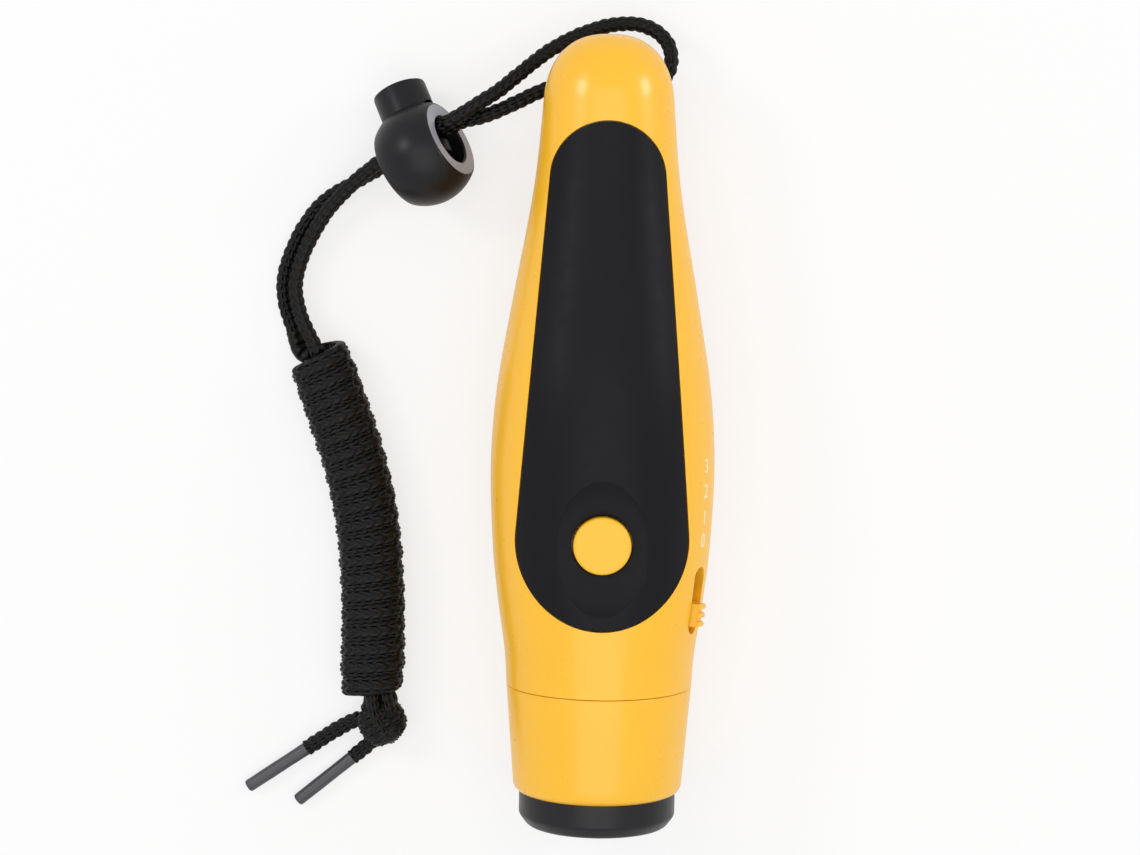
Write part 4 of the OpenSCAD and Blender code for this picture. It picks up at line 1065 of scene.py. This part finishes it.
class WHISTLE_OT_selector(bpy.types.Operator):
    """Ribbed selector knob in its slot, and the raised digits beside it"""
    bl_idname = "whistle.selector"
    bl_label = "Selector"

    def execute(self, context):
        place = slot_matrix() @ placed((0, -KNOB_TRAVEL / 2, 0))
        low = -WALL - 0.5
        knob = block("whistle_selector", (low - 0.8, -3.1, -2.5), (low, 3.1, 2.5), place)
        join(knob, block("neck", (low - 0.3, -2.0, -1.4), (0.7, 2.0, 1.4), place))
        for y in KNOB_RIBS:
            rib = rod("rib", RIB_R, -1.25, 1.25, steps=24)
            rib.data.transform(place @ placed((0.88, y, 0)))
            join(knob, rib)
        cut(knob, block("pocket", (low - 1, -1, -1), (-WALL + 0.6, 1, 1), place))
        soften(knob, 0.0002, 3)
        dressed(knob, "button_orange", "selector_knob", body="selector")
        for i, (digit, y) in enumerate(DIGITS):
            data = bpy.data.curves.new(f"digit_{digit}", "FONT")
            data.body = digit
            data.size = sizes().digit_h * 1.35
            data.align_x = data.align_y = "CENTER"
            mesh = evaluated(new_object(f"digit_{i}", data))
            bpy.data.curves.remove(data)
            bm = bmesh.new()
            bm.from_mesh(mesh)
            bmesh.ops.remove_doubles(bm, verts=bm.verts, dist=1e-6)
            bmesh.ops.triangulate(bm, faces=bm.faces)
            bmesh.ops.subdivide_edges(bm, edges=[e for e in bm.edges if e.calc_length() > 0.0004], cuts=2)
            # Laid on the body's side, its upper face a little proud
            top = set(extruded(bm, faces=list(bm.faces))[0])
            for v in bm.verts:
                angle = DIGIT_ANGLE - degrees(v.co.x / MM / DIGIT_GIRTH_R)
                v.co = on_body(y + v.co.y / MM, angle, DIGIT_RAISED if v in top else DIGIT_SUNK)
            dressed(finish_mesh(bm, f"digit_mark_{i}"), "body_orange", finish="digit_pale")
            bpy.data.meshes.remove(mesh)
        return {"FINISHED"}


class WHISTLE_OT_carried_nodes(bpy.types.Operator):
    """Finishes for the pieces that keep their solids' own shape"""
    bl_idname = "whistle.carried_nodes"
    bl_label = "Inner pieces"

    def execute(self, context):
        mats = finishes()
        slots = {s["node"]: s["material_slot"] for s in frame["record"]["subparts"]}
        for name, node in frame["nodes"].items():
            if slots[name] not in mats:
                raise RuntimeError(f"no finish for {name}")
            node.data.materials.clear()
            node.data.materials.append(mats[slots[name]])
        return {"FINISHED"}


class WHISTLE_OT_stage(bpy.types.Operator):
    """Pale floor, white surroundings and soft lamps"""
    bl_idname = "whistle.stage"
    bl_label = "Stage"

    def execute(self, context):
        scene = context.scene
        scene.view_settings.view_transform = "Standard"
        bm = bmesh.new()
        bmesh.ops.create_grid(bm, x_segments=1, y_segments=1, size=4)
        ground = finish_mesh(bm, "floor", recalc=False)
        f = Finish("floor_paint").set(Roughness=0.9)
        f.tint(f.noise(3, 2), colours().floor, 0.99, 1.01)
        # Seen straight on, the floor is part white board, so its shadows are light
        seen = add_node(f.tree, "ShaderNodeLightPath", "Is Camera Ray")
        share = add_node(f.tree, "ShaderNodeMapRange", "Result", Value=seen, To_Max=0.7)
        blend = f.tree.nodes.new("ShaderNodeMixShader")
        for i, output in enumerate((share, f.shader.outputs[0], add_node(f.tree, "ShaderNodeEmission", 0))):
            f.tree.links.new(output, blend.inputs[i])
        f.tree.links.new(blend.outputs[0], f.tree.nodes["Material Output"].inputs["Surface"])
        ground.data.materials.append(f.material)
        # The surroundings are full white to the eye and in reflections, and light the object a little less
        scene.world = bpy.data.worlds.new("studio")
        scene.world.use_nodes = True
        tree = scene.world.node_tree
        back = tree.nodes["Background"]
        back.inputs["Color"].default_value = (1, 1, 1, 1)
        seen = tree.nodes.new("ShaderNodeMath")
        seen.operation = "MAXIMUM"
        for i, ray in enumerate(("Is Camera Ray", "Is Glossy Ray")):
            tree.links.new(add_node(tree, "ShaderNodeLightPath", ray), seen.inputs[i])
        strength = add_node(tree, "ShaderNodeMapRange", "Result", Value=seen.outputs[0], To_Min=0.58)
        tree.links.new(strength, back.inputs["Strength"])

        def lamp(name, place, aim, size, power):
            data = bpy.data.lights.new(name, "AREA")
            data.shape = "RECTANGLE"
            data.size, data.size_y = size
            data.energy = power
            obj = new_object(name, data)
            obj.location = place
            obj.rotation_euler = (Vector(aim) - Vector(place)).to_track_quat("-Z", "Y").to_euler()

        lamp("overhead", (0, -0.12, 0.95), (0, 0, 0), (1.0, 1.0), 3.6)
        lamp("left", (-0.60, 0.32, 0.56), (0, 0, 0.02), (0.22, 0.22), 1.3)
        lamp("right", (0.72, 0.32, 0.36), (0, 0, 0.02), (0.22, 0.22), 1.4)
        return {"FINISHED"}


class WHISTLE_PT_panel(bpy.types.Panel):
    bl_idname = "WHISTLE_PT_panel"
    bl_label = "Electronic whistle"
    bl_space_type = "VIEW_3D"
    bl_region_type = "UI"
    bl_category = "Whistle"

    def draw(self, context):
        for group in (sizes(), colours()):
            column = self.layout.column(align=True)
            for key in group.__annotations__:
                column.prop(group, key)
        for step in STEPS:
            self.layout.operator(step.bl_idname)


STEPS = (
    WHISTLE_OT_camera, WHISTLE_OT_carried_nodes, WHISTLE_OT_cord_lock, WHISTLE_OT_knot, WHISTLE_OT_lanyard,
    WHISTLE_OT_shells, WHISTLE_OT_door, WHISTLE_OT_panel, WHISTLE_OT_button, WHISTLE_OT_head,
    WHISTLE_OT_selector, WHISTLE_OT_stage,
)
CLASSES = (WhistleSizes, WhistleColours) + STEPS + (WHISTLE_PT_panel,)


def register():
    for item in CLASSES:
        bpy.utils.register_class(item)
    bpy.types.Scene.whistle_sizes = bpy.props.PointerProperty(type=WhistleSizes)
    bpy.types.Scene.whistle_colours = bpy.props.PointerProperty(type=WhistleColours)


def unregister():
    del bpy.types.Scene.whistle_sizes
    del bpy.types.Scene.whistle_colours
    for item in reversed(CLASSES):
        bpy.utils.unregister_class(item)


def main():
    register()
    for step in STEPS:
        group, name = step.bl_idname.split(".")
        getattr(getattr(bpy.ops, group), name)()


if __name__ == "__main__":
    main()
